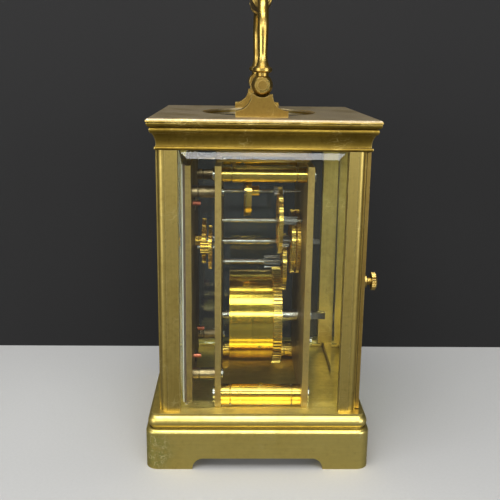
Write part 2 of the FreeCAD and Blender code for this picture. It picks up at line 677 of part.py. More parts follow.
def crossed_wheel(at, teeth, module, mate, phase, y0, y1, hole_r, hub_r, spokes=4, rim=1.5):
    """Brass wheel with spokes and a faceted centre hole."""
    disc = toothed(at, wheel_outline(teeth, module, mate, phase), y0, y1)
    rim_r = teeth * module / 2 - 1.25 * module - rim
    cutters = crossings(at, hub_r, rim_r, spokes, 1.5, y0 - 1, y1 + 1, start=0.4)
    cutters.append(faceted_hole(at, hole_r, y0 - 1, y1 + 1))
    return disc.cut(cutters)


# ---- Movement frame -----------------------------------------------------------------------
def plate_holes():
    """(x, z, radius) of the bearing holes that both plates share."""
    return [(BARREL, 1.5, 2.0), (INTERMEDIATE, 0.5, 0.5), (CENTRE, 1.0, 1.0),
            (THIRD, 0.5, 0.5), (CONTRATE, 0.4, 0.4)]


def frame_plate(front):
    """Front or back plate of the movement."""
    y0 = FRONT_PLATE - PLATE_THICK if front else BACK_PLATE
    y1 = y0 + PLATE_THICK
    plate = box(-PLATE_HALF, PLATE_HALF, y0, y1, FLOOR_TOP, PLATE_HEAD)
    cutters = []
    for at, front_r, back_r in plate_holes():
        cutters.append(rod((front_r if front else back_r) + PLAY, at, y0 - 1, y1 + 1))
    for x, z, _ in movement_pillar_places():
        cutters.append(rod(SPIGOT_R + SEAT, (x, z), y0 - 1, y1 + 1))
    if front:
        for at in post_places():
            cutters.append(rod(1.0 + SEAT, at, y0 - 1, y1 + 1))
        cutters.append(rod(0.8 + SEAT, MINUTE, y0 - 1, y1 + 1))
    else:
        cutters.append(rod(0.8 + SEAT, CLICK_PIVOT, y0 - 1, y1 + 1))
        cutters.append(rod(0.7 + SEAT, SPRING_SCREW, y0 - 1, y1 + 1))
    for x in (-12.0, 12.0):
        y = (y0 + y1) / 2
        cutters.append(post(0.65 + SEAT, (x, y), PLATE_HEAD - 4.0, PLATE_HEAD + 1))
    return plate.cut(cutters)


def movement_pillar_places():
    """(x, z, radius) of the four pillars between the plates."""
    return [(sx * PILLAR_X, z, radius) for sx in (-1, 1)
            for z, radius in ((LOWER_PILLAR_Z, LOWER_PILLAR_R), (UPPER_PILLAR_Z, UPPER_PILLAR_R))]


def movement_pillars():
    """Turned pillars with ring grooves near both ends."""
    pillars = []
    for x, z, radius in movement_pillar_places():
        y0, y1 = FRONT_PLATE, BACK_PLATE
        profile = [(SPIGOT_R, y0 - 2.3), (SPIGOT_R, y0), (radius, y0)]
        for y in (y0 + 3.6, y1 - 4.4):
            profile += [(radius, y), (radius - 0.45, y + 0.15), (radius - 0.45, y + 0.6), (radius, y + 0.75)]
        profile += [(radius, y1), (SPIGOT_R, y1), (SPIGOT_R, y1 + 2.3)]
        pillar = turned((x, z), profile)
        cutters = [rod(0.9, (x, z), y0 - 3, y0 + 3.4), rod(0.9, (x, z), y1 - 3.4, y1 + 3)]
        if radius == LOWER_PILLAR_R:
            cutters.append(post(1.2, (x, seat_screw_y()), z - radius - 1, z + radius + 1))
        pillars.append(pillar.cut(cutters))
    return group(pillars)


def movement_screws():
    """Plate screws, seat screws, dial post screws, the click's two screws and the minute stud."""
    front_face, back_face = FRONT_PLATE - PLATE_THICK, BACK_PLATE + PLATE_THICK
    screws = []
    for x, z, _ in movement_pillar_places():
        screws.append(slotted_screw((x, z), 2.9, 0.85, front_face - 0.9, FRONT_PLATE + 3.0))
        screws.append(slotted_screw((x, z), 2.9, 0.85, back_face + 0.9, BACK_PLATE - 3.0))
    for x in (-PILLAR_X, PILLAR_X):
        screws.append(upright_screw((x, seat_screw_y()), 2.3, 1.1, FLOOR_UNDER - 0.8,
                                    LOWER_PILLAR_Z + LOWER_PILLAR_R + 0.3))
    for at in post_places():
        screws.append(slotted_screw(at, 1.9, 0.95, FRONT_PLATE + 0.9, FRONT_PLATE - 5.0))
    screws.append(slotted_screw(CLICK_PIVOT, 1.9, 0.78, back_face + 3.4, BACK_PLATE + 0.5))
    screws.append(slotted_screw(SPRING_SCREW, 1.5, 0.68, back_face + 2.0, BACK_PLATE + 0.5))
    screws.append(turned(MINUTE, [(0.8, -25.4), (0.8, front_face - 0.2), (1.6, front_face - 0.2),
                                  (1.6, front_face), (0.8, front_face), (0.8, FRONT_PLATE - 0.3)]))
    return group(screws)


# ---- Dial ---------------------------------------------------------------------------------
def post_places():
    """(x, z) of the posts between the front plate and the dial plate."""
    return [(sx * POST_X, z) for sx in (-1, 1) for z in (POST_LOW_Z, POST_HIGH_Z)]


def dial_feet_places():
    """(x, z) of the copper feet on the dial's back."""
    return [(17.0, 37.5), (-17.0, 37.5), (17.0, 104.0), (-17.0, 104.0)]


def dial_posts():
    """Brass posts with a ring groove."""
    y0, y1 = DIAL_PLATE_Y + DIAL_PLATE_THICK, FRONT_PLATE - PLATE_THICK
    posts = []
    for at in post_places():
        profile = [(POST_R, y0), (POST_R, y0 + 2.4), (POST_R - 0.4, y0 + 2.55), (POST_R - 0.4, y0 + 3.0),
                   (POST_R, y0 + 3.15), (POST_R, y1)]
        spigot = rod(1.1, at, DIAL_PLATE_Y + 0.2, y0 + 0.1)
        posts.append(union([turned(at, profile), spigot]).cut(rod(1.0, at, y1 - 4.0, y1 + 1)))
    return group(posts)


def dial_plate():
    """Brass plate behind the enamel."""
    y1 = DIAL_PLATE_Y + DIAL_PLATE_THICK
    plate = box(-DIAL_HALF + 0.8, DIAL_HALF - 0.8, DIAL_PLATE_Y, y1, DIAL_FOOT + 0.6, DIAL_HEAD - 0.6)
    cutters = [rod(3.1, CENTRE, DIAL_PLATE_Y - 1, y1 + 1)]
    cutters += [rod(1.1 + SEAT, at, DIAL_PLATE_Y - 1, y1 + 1) for at in post_places()]
    cutters += [rod(0.95 + SEAT, at, DIAL_PLATE_Y - 1, y1 + 1) for at in dial_feet_places()]
    return plate.cut(cutters)


def dial():
    """Enamelled dial with a softened front edge."""
    y0 = DIAL_PLATE_Y - DIAL_THICK
    body = box(-DIAL_HALF, DIAL_HALF, y0, DIAL_PLATE_Y, DIAL_FOOT, DIAL_HEAD)
    rims = [edge for edge in body.Edges
            if all(abs(vertex.Y - y0) < 1e-6 for vertex in edge.Vertexes)]
    body = body.makeFillet(0.5, rims)
    return body.cut(rod(2.9, CENTRE, y0 - 1, DIAL_PLATE_Y + 1))


def dial_feet():
    """Copper feet that pass through the dial plate, cross-drilled for their pins."""
    feet = []
    end = DIAL_PLATE_Y + 4.6
    for at in dial_feet_places():
        foot = rod(0.95, at, DIAL_PLATE_Y, end)
        feet.append(foot.cut(post(0.35, (at[0], end - 2.4), at[1] - 2, at[1] + 2)))
    return group(feet)


def hand(at, length, tail, y0, y1, hole_r, swell_at, swell_r, turn):
    """Pierced spade hand standing at 12 o'clock, then turned to its place."""
    hub_r = hole_r + 1.1
    solids = [rod(hub_r, at, y0, y1),
              prism([V(at[0] - 0.55, y0, at[1]), V(at[0] + 0.55, y0, at[1]),
                     V(at[0] + 0.16, y0, at[1] + length), V(at[0] - 0.16, y0, at[1] + length)],
                    V(0, y1 - y0, 0)),
              prism([V(at[0] - 0.5, y0, at[1] - tail), V(at[0] + 0.5, y0, at[1] - tail),
                     V(at[0] + 0.5, y0, at[1]), V(at[0] - 0.5, y0, at[1])], V(0, y1 - y0, 0))]
    eye = (at[0], at[1] + swell_at)
    solids.append(rod(swell_r, eye, y0, y1))
    piece = union(solids).cut([rod(swell_r - 0.75, eye, y0 - 1, y1 + 1),
                               faceted_hole(at, hole_r, y0 - 1, y1 + 1)])
    piece.rotate(V(at[0], 0, at[1]), Y_AXIS, turn)
    return piece


# ---- Motion work --------------------------------------------------------------------------
HANDS_TURN_MINUTE = 60.0
HANDS_TURN_HOUR = 305.0


def motion_work():
    """Cannon pinion, minute wheel, hour wheel and the two hands."""
    module, aim, gap = mesh(MINUTE, CENTRE, MINUTE_TEETH, CANNON_LEAVES)
    leaves = toothed(CENTRE, pinion_outline(CANNON_LEAVES, module, gap), -20.8, -19.2)
    pipe = turned(CENTRE, [(1.6, -31.6), (1.6, -20.8), (2.2, -20.8), (2.2, -18.0)])
    cannon = union([leaves, pipe]).cut(rod(1.0 + SEAT, CENTRE, -33, -17))
    wheel = crossed_wheel(MINUTE, MINUTE_TEETH, module, CANNON_LEAVES, aim, -20.6, -19.4,
                          0.8 + PLAY, 2.6, rim=1.3)
    slow, aim_slow, gap_slow = mesh(MINUTE, CENTRE, MINUTE_LEAVES, HOUR_TEETH)
    pinion = toothed(MINUTE, pinion_outline(MINUTE_LEAVES, slow, aim_slow + pi / MINUTE_LEAVES), -24.3, -20.6)
    pinion = pinion.cut(faceted_hole(MINUTE, 0.8 + PLAY, -25, -20))
    hour = crossed_wheel(CENTRE, HOUR_TEETH, slow, MINUTE_LEAVES, gap_slow + pi / HOUR_TEETH,
                         -23.8, -22.3, 2.1, 3.2, rim=1.4)
    hour_pipe = rod(2.45, CENTRE, -31.0, -22.1)
    hour_wheel = union([hour, hour_pipe]).cut(rod(1.6 + PLAY, CENTRE, -32, -21))
    return {
        "cannon_pinion": cannon,
        "minute_wheel": union([wheel, pinion]),
        "hour_wheel": hour_wheel,
        "minute_hand": hand(CENTRE, 26.0, 6.0, -32.4, -31.9, 1.0 + SEAT, 18.5, 1.7, HANDS_TURN_MINUTE),
        "hour_hand": hand(CENTRE, 17.5, 3.5, -31.0, -30.5, 2.45 + SEAT, 12.0, 2.0, HANDS_TURN_HOUR),
    }


# ---- Going train --------------------------------------------------------------------------
def barrel_parts():
    """Drum, cap, great wheel, spring and winding arbor."""
    module, aim, _ = mesh(BARREL, INTERMEDIATE, GREAT_TEETH, INTERMEDIATE_LEAVES)
    drum = rod(20.5, BARREL, -11.9, 6.9).cut([rod(19.3, BARREL, -13, 5.6), rod(2.05, BARREL, 5, 8)])
    cap = rod(19.28, BARREL, -11.9, -10.9).cut(rod(2.05, BARREL, -13, -10))
    wheel = toothed(BARREL, wheel_outline(GREAT_TEETH, module, INTERMEDIATE_LEAVES, aim), 6.9, 10.5)
    wheel = wheel.cut(faceted_hole(BARREL, 2.05, 6, 11))
    arbor = turned(BARREL, [(1.5, -17.5), (1.5, -15.0), (2.0, -15.0), (2.0, -10.7), (3.2, -10.7),
                            (3.2, 5.3), (2.0, 5.3), (2.0, 10.8), (2.5, 10.8), (2.5, 18.3),
                            (2.0, 18.3), (2.0, 21.4), (2.0, 23.1), (2.3, 23.1), (2.3, 24.6),
                            (1.5, 24.6), (1.5, 24.8)])
    square = box(-1.5, 1.5, 24.7, 31.0, BARREL[1] - 1.5, BARREL[1] + 1.5)
    return {"barrel_drum": drum, "barrel_cap": cap, "great_wheel": wheel, "mainspring": mainspring(),
            "winding_arbor": union([arbor, square])}


def spiral_strip(at, inner, outer, turns, thick, start, placed):
    """Face of a flat spiral strip; `placed` turns plane coordinates into a point."""
    steps = int(turns * 10)
    sides = []
    for offset in (0.0, thick):
        points = []
        for step in range(steps + 1):
            share = step / steps
            angle = start + 2 * pi * turns * share
            radius = inner + (outer - inner) * share + offset
            points.append(placed(at[0] + radius * cos(angle), at[1] + radius * sin(angle)))
        curve = Part.BSplineCurve()
        curve.interpolate(points)
        sides.append((curve.toShape(), points[0], points[-1]))
    (near, near_start, near_end), (far, far_start, far_end) = sides
    edges = [near, far, Part.LineSegment(near_start, far_start).toShape(),
             Part.LineSegment(near_end, far_end).toShape()]
    return Part.Face(Part.Wire(Part.__sortEdges__(edges)))


def mainspring():
    """Coiled spring in the drum, between the arbor and the drum's wall."""
    face = spiral_strip(BARREL, 3.6, 18.4, 9, 0.6, 0.0, lambda x, z: V(x, -10.4, z))
    return face.extrude(V(0, 15.4, 0))


def arbor_with_pinion(at, leaves, module, phase, pinion_span, arbor_profile):
    """Steel arbor with its pinion cut in one piece."""
    pinion = toothed(at, pinion_outline(leaves, module, phase), *pinion_span)
    return union([turned(at, arbor_profile), pinion])


def train_parts():
    """Intermediate, centre, third and contrate wheels with their arbors."""
    parts = {}
    module, _, gap = mesh(BARREL, INTERMEDIATE, GREAT_TEETH, INTERMEDIATE_LEAVES)
    parts["intermediate_arbor"] = arbor_with_pinion(
        INTERMEDIATE, INTERMEDIATE_LEAVES, module, gap, (3.8, 10.8),
        [(0.5, -17.3), (0.5, -14.9), (1.35, -14.9), (1.35, 11.0), (1.1, 11.0), (1.1, 13.6),
         (0.5, 13.6), (0.5, 20.9)])
    module, aim, gap = mesh(INTERMEDIATE, CENTRE, INTERMEDIATE_TEETH, CENTRE_LEAVES)
    parts["intermediate_wheel"] = crossed_wheel(
        INTERMEDIATE, INTERMEDIATE_TEETH, module, CENTRE_LEAVES, aim, 11.5, 13.2, 1.1 + SEAT, 3.0)
    centre_leaves = toothed(CENTRE, pinion_outline(CENTRE_LEAVES, module, gap), 11.0, 14.2)
    sleeve = rod(1.75, CENTRE, 11.0, 16.3)
    parts["centre_pinion"] = union([centre_leaves, sleeve]).cut(rod(1.0 + PLAY, CENTRE, 10, 17))
    module, aim, gap = mesh(CENTRE, THIRD, CENTRE_TEETH, THIRD_LEAVES)
    parts["centre_wheel"] = crossed_wheel(
        CENTRE, CENTRE_TEETH, module, THIRD_LEAVES, aim, 14.4, 16.0, 1.75 + SEAT, 3.6)
    parts["setting_wheel"] = crossed_wheel(
        CENTRE, CENTRE_TEETH, module, THIRD_LEAVES, aim, 16.7, 18.2, 1.0 + SEAT, 3.6)
    parts["third_arbor"] = arbor_with_pinion(
        THIRD, THIRD_LEAVES, module, gap, (10.2, 16.4),
        [(0.5, -17.3), (0.5, -14.9), (0.9, -14.9), (0.9, 10.2), (1.2, 10.2), (1.2, 16.4),
         (0.7, 16.4), (0.7, 18.3), (0.5, 18.3), (0.5, 20.9)])
    module, aim, gap = mesh(THIRD, CONTRATE, THIRD_TEETH, CONTRATE_LEAVES)
    parts["third_wheel"] = crossed_wheel(
        THIRD, THIRD_TEETH, module, CONTRATE_LEAVES, aim, 8.2, 9.8, 0.9 + SEAT, 3.0)
    parts["contrate_arbor"] = arbor_with_pinion(
        CONTRATE, CONTRATE_LEAVES, module, gap, (7.2, 11.0),
        [(0.4, -17.3), (0.4, -14.9), (0.7, -14.9), (0.7, 7.2), (1.0, 7.2), (1.0, 11.0),
         (0.7, 11.0), (0.7, 18.3), (0.4, 18.3), (0.4, 20.9)])
    parts["contrate_wheel"] = contrate_wheel()
    parts["centre_arbor"] = union([
        turned(CENTRE, [(1.0, -33.0), (1.0, -14.9), (1.5, -14.9), (1.5, 5.5), (1.0, 5.5), (1.0, 21.3)]),
        box(-1.0, 1.0, 21.2, 27.5, CENTRE[1] - 1.0, CENTRE[1] + 1.0)])
    return parts


def contrate_wheel():
    """Crown wheel: its teeth point forwards from the rim; a hub holds it behind."""
    outer, inner = 11.0, 9.9
    tip, pitch, root, back = -5.9, -5.57, -5.0, -2.8
    sides = CONTRATE_TEETH
    rim_points = [ring_point(CONTRATE, outer, 2 * pi * (n + 0.5) / sides, root) for n in range(sides)]
    disc = prism(rim_points, V(0, back - root, 0))
    hollow = [ring_point(CONTRATE, inner, 2 * pi * (n + 0.5) / sides, root - 1) for n in range(sides)]
    disc = disc.cut([prism(hollow, V(0, -4.1 - root + 1, 0)),
                     faceted_hole(CONTRATE, 0.7 + SEAT, -7, 0)]
                    + crossings(CONTRATE, 2.6, 8.9, 3, 1.5, -7, 0, start=0.5))
    pitch_width = 2 * pi * outer / sides
    teeth = []
    for number in range(sides):
        angle = 2 * pi * number / sides
        profile = [(0.24, root + 0.1), (0.24, pitch), (0.15, pitch - 0.2), (0.05, tip)]
        side = [(share * pitch_width, y) for share, y in profile]
        outline = side + [(-across, y) for across, y in reversed(side)]
        points = [V(inner + 0.02, y, across) for across, y in outline]
        tooth = prism(points, V(outer * cos(pi / sides) - inner - 0.04, 0, 0))
        tooth.rotate(V(0, 0, 0), Y_AXIS, -degrees(angle))
        teeth.append(tooth.translated(V(CONTRATE[0], 0, CONTRATE[1])))
    hub = rod(2.2, CONTRATE, back, 0.6).cut(rod(0.7 + SEAT, CONTRATE, -7, 1))
    return union([disc] + teeth + [hub])


# ---- Winding work on the back plate ---------------------------------------------------------
CLICK_PIVOT = (7.6, 40.6)
SPRING_SCREW = (-5.4, 35.6)
RATCHET_R = 6.7
CLICK_CLEAR = 0.2


def ratchet_wheel():
    """Saw-toothed wheel on the winding arbor."""
    points = []
    for number in range(RATCHET_TEETH):
        angle = 2 * pi * number / RATCHET_TEETH
        points.append(ring_point(BARREL, RATCHET_R - 0.9, angle, 21.5))
        points.append(ring_point(BARREL, RATCHET_R, angle + 0.02, 21.5))
    return prism(points, V(0, 1.5, 0)).cut(faceted_hole(BARREL, 2.0 + SEAT, 21, 24))


def click():
    """Pawl on its screw; the nose rests just clear of the ratchet's teeth."""
    y0, y1 = 21.5, 23.4
    reach_angle = atan2(CLICK_PIVOT[1] - BARREL[1], CLICK_PIVOT[0] - BARREL[0]) - 0.62
    nose = ring_point(BARREL, RATCHET_R + CLICK_CLEAR, reach_angle, y0)
    px, pz = CLICK_PIVOT
    arm = prism([V(px - 1.6, y0, pz + 1.5), nose, V(nose.x + 1.3, y0, nose.z - 1.0),
                 V(px - 0.8, y0, pz - 1.9)], V(0, y1 - y0, 0))
    eye = rod(2.2, CLICK_PIVOT, y0, y1)
    return union([eye, arm]).cut(rod(0.78 + PLAY, CLICK_PIVOT, 21, 24))


def click_spring():
    """Bent strip screwed to the plate, pressing up beside the click's arm."""
    y0, y1 = 21.2, 22.1
    sx, sz = SPRING_SCREW
    strip = prism([V(sx - 1.8, y0, sz - 1.8), V(sx + 1.8, y0, sz - 1.8), V(sx + 11.6, y0, sz + 1.1),
                   V(sx + 11.6, y0, sz + 1.7), V(sx + 1.6, y0, sz + 0.2), V(sx - 1.8, y0, sz + 1.8)],
                  V(0, y1 - y0, 0))
    return strip.cut(rod(0.68 + SEAT, SPRING_SCREW, 21, 24))


# ---- Platform escapement --------------------------------------------------------------------
def platform_plate():
    """Plate across the tops of the two movement plates."""
    y0, y1 = FRONT_PLATE - PLATE_THICK, BACK_PLATE + PLATE_THICK
    plate = box(-PLATFORM_HALF, PLATFORM_HALF, y0, y1, PLATFORM_Z, PLATFORM_Z + PLATFORM_THICK)
    upright = [edge for edge in plate.Edges if abs(edge.tangentAt(edge.FirstParameter).z) > 0.9]
    plate = plate.makeFillet(2.0, upright)
    top = PLATFORM_Z + PLATFORM_THICK
    cutters = [post(1.1, ESCAPE_XY, PLATFORM_Z - 1, top + 1),
               post(0.3, LEVER_XY, PLATFORM_Z + 0.6, top + 1),
               post(0.35, BALANCE_XY, PLATFORM_Z + 0.6, top + 1)]
    cutters += [post(0.65 + SEAT, at, PLATFORM_Z - 1, top + 1) for at in platform_screw_places()]
    cutters += [post(0.6 + SEAT, at, PLATFORM_Z - 1, top + 1) for at, _ in cock_screw_places()]
    return plate.cut(cutters)


def platform_screw_places():
    """(x, y) of the screws down into the plates' top edges."""
    ys = (FRONT_PLATE - PLATE_THICK / 2, BACK_PLATE + PLATE_THICK / 2)
    return [(x, y) for x in (-12.0, 12.0) for y in ys]


def cock_screw_places():
    """(x, y) and head height of the screws that hold the three cocks."""
    return [((-12.2, ESCAPE_XY[1]), COCK_LEVEL + 2.0), ((11.0, LEVER_XY[1]), COCK_LEVEL + 2.0),
            ((BALANCE_XY[0], 17.0), BALANCE_COCK_LEVEL + 2.0)]


def platform_screws():
    """Steel screws of the platform and of its cocks."""
    top = PLATFORM_Z + PLATFORM_THICK
    screws = [upright_screw(at, 1.5, 0.65, top + 0.8, PLATE_HEAD - 3.6) for at in platform_screw_places()]
    screws += [upright_screw(at, 1.4, 0.6, head, PLATFORM_Z + 0.2) for at, head in cock_screw_places()]
    return group(screws)


def cock(pivot, foot, level, half_foot, half_bar, bore_r):
    """Bridge from a foot block on the platform to a bearing over a pivot, along X or Y."""
    base = PLATFORM_Z + PLATFORM_THICK
    thick = 1.2
    fx, fy = foot
    solids = [box(fx - half_foot, fx + half_foot, fy - half_foot, fy + half_foot, base, level + thick),
              post(half_bar, pivot, level, level + thick)]
    if abs(foot[1] - pivot[1]) < 1e-6:
        x0, x1 = sorted((pivot[0], fx))
        solids.append(box(x0, x1, fy - half_bar, fy + half_bar, level, level + thick))
    else:
        y0, y1 = sorted((pivot[1], fy))
        solids.append(box(fx - half_bar, fx + half_bar, y0, y1, level, level + thick))
    holes = [post(bore_r, pivot, level - 1, level + thick + 2), post(0.6 + SEAT, foot, base - 1, level + 5)]
    return union(solids).cut(holes)


def platform_cocks():
    """Escape cock, lever cock and the potence that holds the escape arbor's lower pivot."""
    escape = cock(ESCAPE_XY, (-12.2, ESCAPE_XY[1]), COCK_LEVEL, 2.4, 1.7, 0.3)
    lever_cock = cock(LEVER_XY, (11.0, LEVER_XY[1]), COCK_LEVEL, 2.4, 1.5, 0.3)
    ex, ey = ESCAPE_XY
    potence = union([box(ex - 2.0, ex + 2.0, -11.0, -9.4, 110.0, PLATFORM_Z),
                     box(ex - 4.0, ex + 4.0, -12.6, -9.4, PLATFORM_Z - 1.6, PLATFORM_Z),
                     box(ex - 2.0, ex + 2.0, -11.0, -5.3, 110.0, 111.4)])
    potence = potence.cut(post(0.3, ESCAPE_XY, 110.3, 112))
    return group([escape, lever_cock, potence])


def balance_cock():
    """Cock over the balance, with the boss that the regulator turns on."""
    body = cock(BALANCE_XY, (BALANCE_XY[0], 17.0), BALANCE_COCK_LEVEL, 2.6, 2.1, 0.35)
    boss = post(1.1, BALANCE_XY, BALANCE_COCK_LEVEL + 1.0, BALANCE_COCK_LEVEL + 2.0)
    return union([body, boss]).cut(post(0.35, BALANCE_XY, 120, 140))


def escape_arbor():
    """Upright arbor with a six-leaf pinion that the contrate wheel drives."""
    module = 2 * 10.5 / CONTRATE_TEETH
    x, y = ESCAPE_XY
    outline = pinion_outline(ESCAPE_LEAVES, module, pi / 2 + pi / ESCAPE_LEAVES)
    points = [V(x + radius * cos(angle), y + radius * sin(angle), 115.0) for radius, angle in outline]
    pinion = prism(points, V(0, 0, 3.2))
    arbor = turned(ESCAPE_XY, [(0.25, 110.5), (0.25, 111.5), (0.45, 111.5), (0.45, 125.2),
                               (0.25, 125.2), (0.25, 126.5)], "z")
    return union([arbor, pinion])


def escape_wheel():
    """Fifteen club-like teeth on a light ring with three spokes."""
    x, y = ESCAPE_XY

    def point(radius, angle):
        return V(x + radius * cos(angle), y + radius * sin(angle), WHEEL_LEVEL)

    points = []
    pitch = 2 * pi / ESCAPE_TEETH
    for number in range(ESCAPE_TEETH):
        angle = number * pitch
        points += [point(2.9, angle), point(ESCAPE_R - 0.25, angle + 0.07), point(ESCAPE_R, angle + 0.16),
                   point(ESCAPE_R - 0.5, angle + 0.15), point(2.9, angle + 0.19)]
    wheel = prism(points, V(0, 0, 0.6))
    cutters = [prism([point(0.45 + SEAT, 2 * pi * n / 12) for n in range(12)], V(0, 0, 0.6))]
    for number in range(3):
        start = number * 2 * pi / 3
        arc = [point(2.35, start + 0.2 + (2 * pi / 3 - 0.4) * n / 4) for n in range(5)]
        cutters.append(prism([point(1.1, start + 0.35)] + arc + [point(1.1, start + 2 * pi / 3 - 0.35)],
                             V(0, 0, 0.6)))
    return wheel.cut(cutters)


def lever():
    """Lever: pallet arms on one side of its pivot, the fork on the other."""
    x, y = LEVER_XY

    def flat(points):
        return prism([V(x + px, y + py, WHEEL_LEVEL) for px, py in points], V(0, 0, 0.6))

    arms = flat([(-2.6, -0.5), (-2.2, -0.9), (-1.9, -0.35), (0, 0.1), (1.9, -0.35), (2.2, -0.9),
                 (2.6, -0.5), (2.3, 0.5), (0.5, 0.9), (-0.5, 0.9), (-2.3, 0.5)])
    stem = flat([(-0.4, 0.2), (0.4, 0.2), (0.3, 4.3), (0.75, 4.6), (0.75, 5.45), (0.35, 5.45),
                 (0.3, 4.9), (-0.3, 4.9), (-0.35, 5.45), (-0.75, 5.45), (-0.75, 4.6), (-0.3, 4.3)])
    staff = turned(LEVER_XY, [(0.25, 121.8), (0.25, 122.9), (0.45, 122.9), (0.45, 125.2),
                              (0.25, 125.2), (0.25, 126.5)], "z")
    return union([arms, stem, staff])


def balance():
    """Balance ring with two arms and rim screws, its staff, roller and impulse pin."""
    x, y = BALANCE_XY
    level = BALANCE_LEVEL
    ring = post(BALANCE_R, BALANCE_XY, level, level + 1.0).cut(post(BALANCE_R - 1.1, BALANCE_XY, 120, 135))
    arm = box(x - BALANCE_R + 0.6, x + BALANCE_R - 0.6, y - 0.7, y + 0.7, level + 0.2, level + 0.8)
    hub = turned(BALANCE_XY, [(0.3, 121.8), (0.3, 122.9), (0.6, 122.9), (0.6, 124.9), (2.1, 124.9),
                              (2.1, 125.4), (0.6, 125.4), (0.6, level), (1.5, level), (1.5, level + 1.2),
                              (0.6, level + 1.2), (0.6, 129.5), (1.0, 129.5), (1.0, 130.2),
                              (0.5, 130.2), (0.5, 130.8), (0.3, 130.8), (0.3, 132.6)], "z")
    pin = post(0.25, (x, y + 1.6), 123.9, 125.0)
    screws = []
    for number in range(12):
        angle = radians(15 + 30 * number)
        start = V(x + (BALANCE_R - 0.2) * cos(angle), y + (BALANCE_R - 0.2) * sin(angle), level + 0.5)
        screws.append(Part.makeCylinder(0.42, 0.75, start, V(cos(angle), sin(angle), 0)))
    return union([ring, arm, hub, pin] + screws)


def hairspring():
    """Flat spiral under the balance cock, and the stud that holds its outer end."""
    face = spiral_strip(BALANCE_XY, 1.25, 4.3, 8, 0.12, 0.0, lambda x, y: V(x, y, 129.6))
    strip = face.extrude(V(0, 0, 0.4))
    x, y = BALANCE_XY
    stud = box(x + 4.45, x + 5.1, y - 0.35, y + 0.35, 129.4, BALANCE_COCK_LEVEL + 0.6)
    arm = box(x + 2.0, x + 5.1, y - 0.35, y + 0.35, BALANCE_COCK_LEVEL + 0.1, BALANCE_COCK_LEVEL + 0.6)
    arm = arm.cut(post(2.1 + SEAT, BALANCE_XY, 130, 133))
    return group([strip, union([stud, arm])])


def regulator():
    """Index on the balance cock's boss."""
    x, y = BALANCE_XY
    level = BALANCE_COCK_LEVEL + 1.25
    ring = post(2.0, BALANCE_XY, level, level + 0.5)
    pointer = prism([V(x - 0.5, y - 1.2, level), V(x + 0.5, y - 1.2, level), V(x + 0.14, y - 8.5, level),
                     V(x - 0.14, y - 8.5, level)], V(0, 0, 0.5))
    return union([ring, pointer]).cut(post(1.1 + PLAY, BALANCE_XY, 125, 135))


# ---- The whole clock ------------------------------------------------------------------------
def all_pieces():
    """Every node of the clock, by name."""
    pieces = {
        "base_moulding": base_moulding(), "cornice": cornice(), "top_glass": top_glass(),
        "pillar_front_left": corner_pillar(-1, -1), "pillar_front_right": corner_pillar(1, -1),
        "pillar_back_left": corner_pillar(-1, 1), "pillar_back_right": corner_pillar(1, 1),
        "case_screws": case_screws(), "bracket_left": bracket(-1), "bracket_right": bracket(1),
        "handle_grip": handle_grip(),
        "handle_arms": group([handle_arm(), handle_arm().mirror(V(0, 0, 0), X_AXIS)]),
        "door_frame": door_frame(), "door_glass": door_glass(), "door_knob": door_knob(),
        "front_plate": frame_plate(True), "back_plate": frame_plate(False),
        "movement_pillars": movement_pillars(), "movement_screws": movement_screws(),
        "dial_plate": dial_plate(), "dial": dial(), "dial_feet": dial_feet(), "dial_posts": dial_posts(),
        "ratchet_wheel": ratchet_wheel(), "click": click(), "click_spring": click_spring(),
        "platform_plate": platform_plate(), "platform_screws": platform_screws(),
        "platform_cocks": platform_cocks(), "balance_cock": balance_cock(),
        "escape_arbor": escape_arbor(), "escape_wheel": escape_wheel(), "lever": lever(),
        "balance": balance(), "hairspring": hairspring(), "regulator": regulator(),
    }
    pieces.update(case_panes())
    pieces.update(motion_work())
    pieces.update(barrel_parts())
    pieces.update(train_parts())
    return pieces


os.makedirs("parts", exist_ok=True)
for node, shape in all_pieces().items():
    shape.exportStep(f"parts/{node}.step")
    solids = len(shape.Solids)
    print(f"{node}: {solids} solid(s), {shape.Volume:.1f} mm3, valid {shape.isValid()}")
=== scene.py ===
"""Looks of a glazed brass carriage clock: finishes, fine pieces and studio.

Metres throughout. +X is the clock's right side, -Y its dial, +Z up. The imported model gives
every main shape and its place; this script softens edges, adds the small printed and fitted
pieces, and gives each surface its finish.
"""
from __future__ import annotations

import logging
import math
from abc import ABC, abstractmethod
from collections.abc import Callable, Iterable, Sequence
from dataclasses import dataclass, field
from enum import Enum

import bmesh
import bpy
from mathutils import Matrix, Vector

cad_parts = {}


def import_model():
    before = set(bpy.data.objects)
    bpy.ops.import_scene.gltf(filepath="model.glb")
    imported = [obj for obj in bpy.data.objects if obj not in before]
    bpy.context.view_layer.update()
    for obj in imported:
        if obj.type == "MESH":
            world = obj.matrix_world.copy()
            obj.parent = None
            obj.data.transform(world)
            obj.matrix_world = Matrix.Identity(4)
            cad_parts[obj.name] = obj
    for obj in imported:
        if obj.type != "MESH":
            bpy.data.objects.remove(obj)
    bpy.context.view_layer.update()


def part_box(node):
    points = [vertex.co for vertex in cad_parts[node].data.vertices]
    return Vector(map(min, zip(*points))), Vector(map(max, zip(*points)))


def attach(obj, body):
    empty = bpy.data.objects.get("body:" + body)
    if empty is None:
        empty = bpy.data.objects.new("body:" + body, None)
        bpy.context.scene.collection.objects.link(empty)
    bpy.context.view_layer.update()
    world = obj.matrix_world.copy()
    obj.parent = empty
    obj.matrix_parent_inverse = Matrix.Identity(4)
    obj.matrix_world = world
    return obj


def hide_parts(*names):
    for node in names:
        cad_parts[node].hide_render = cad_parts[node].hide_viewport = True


MM = 0.001
EDGE_ANGLE = 34.0
LETTER_WIDTHS = {"I": 1.5, "V": 3.4, "X": 3.6}
Colour = tuple[float, float, float]
LOG = logging.getLogger("clock")


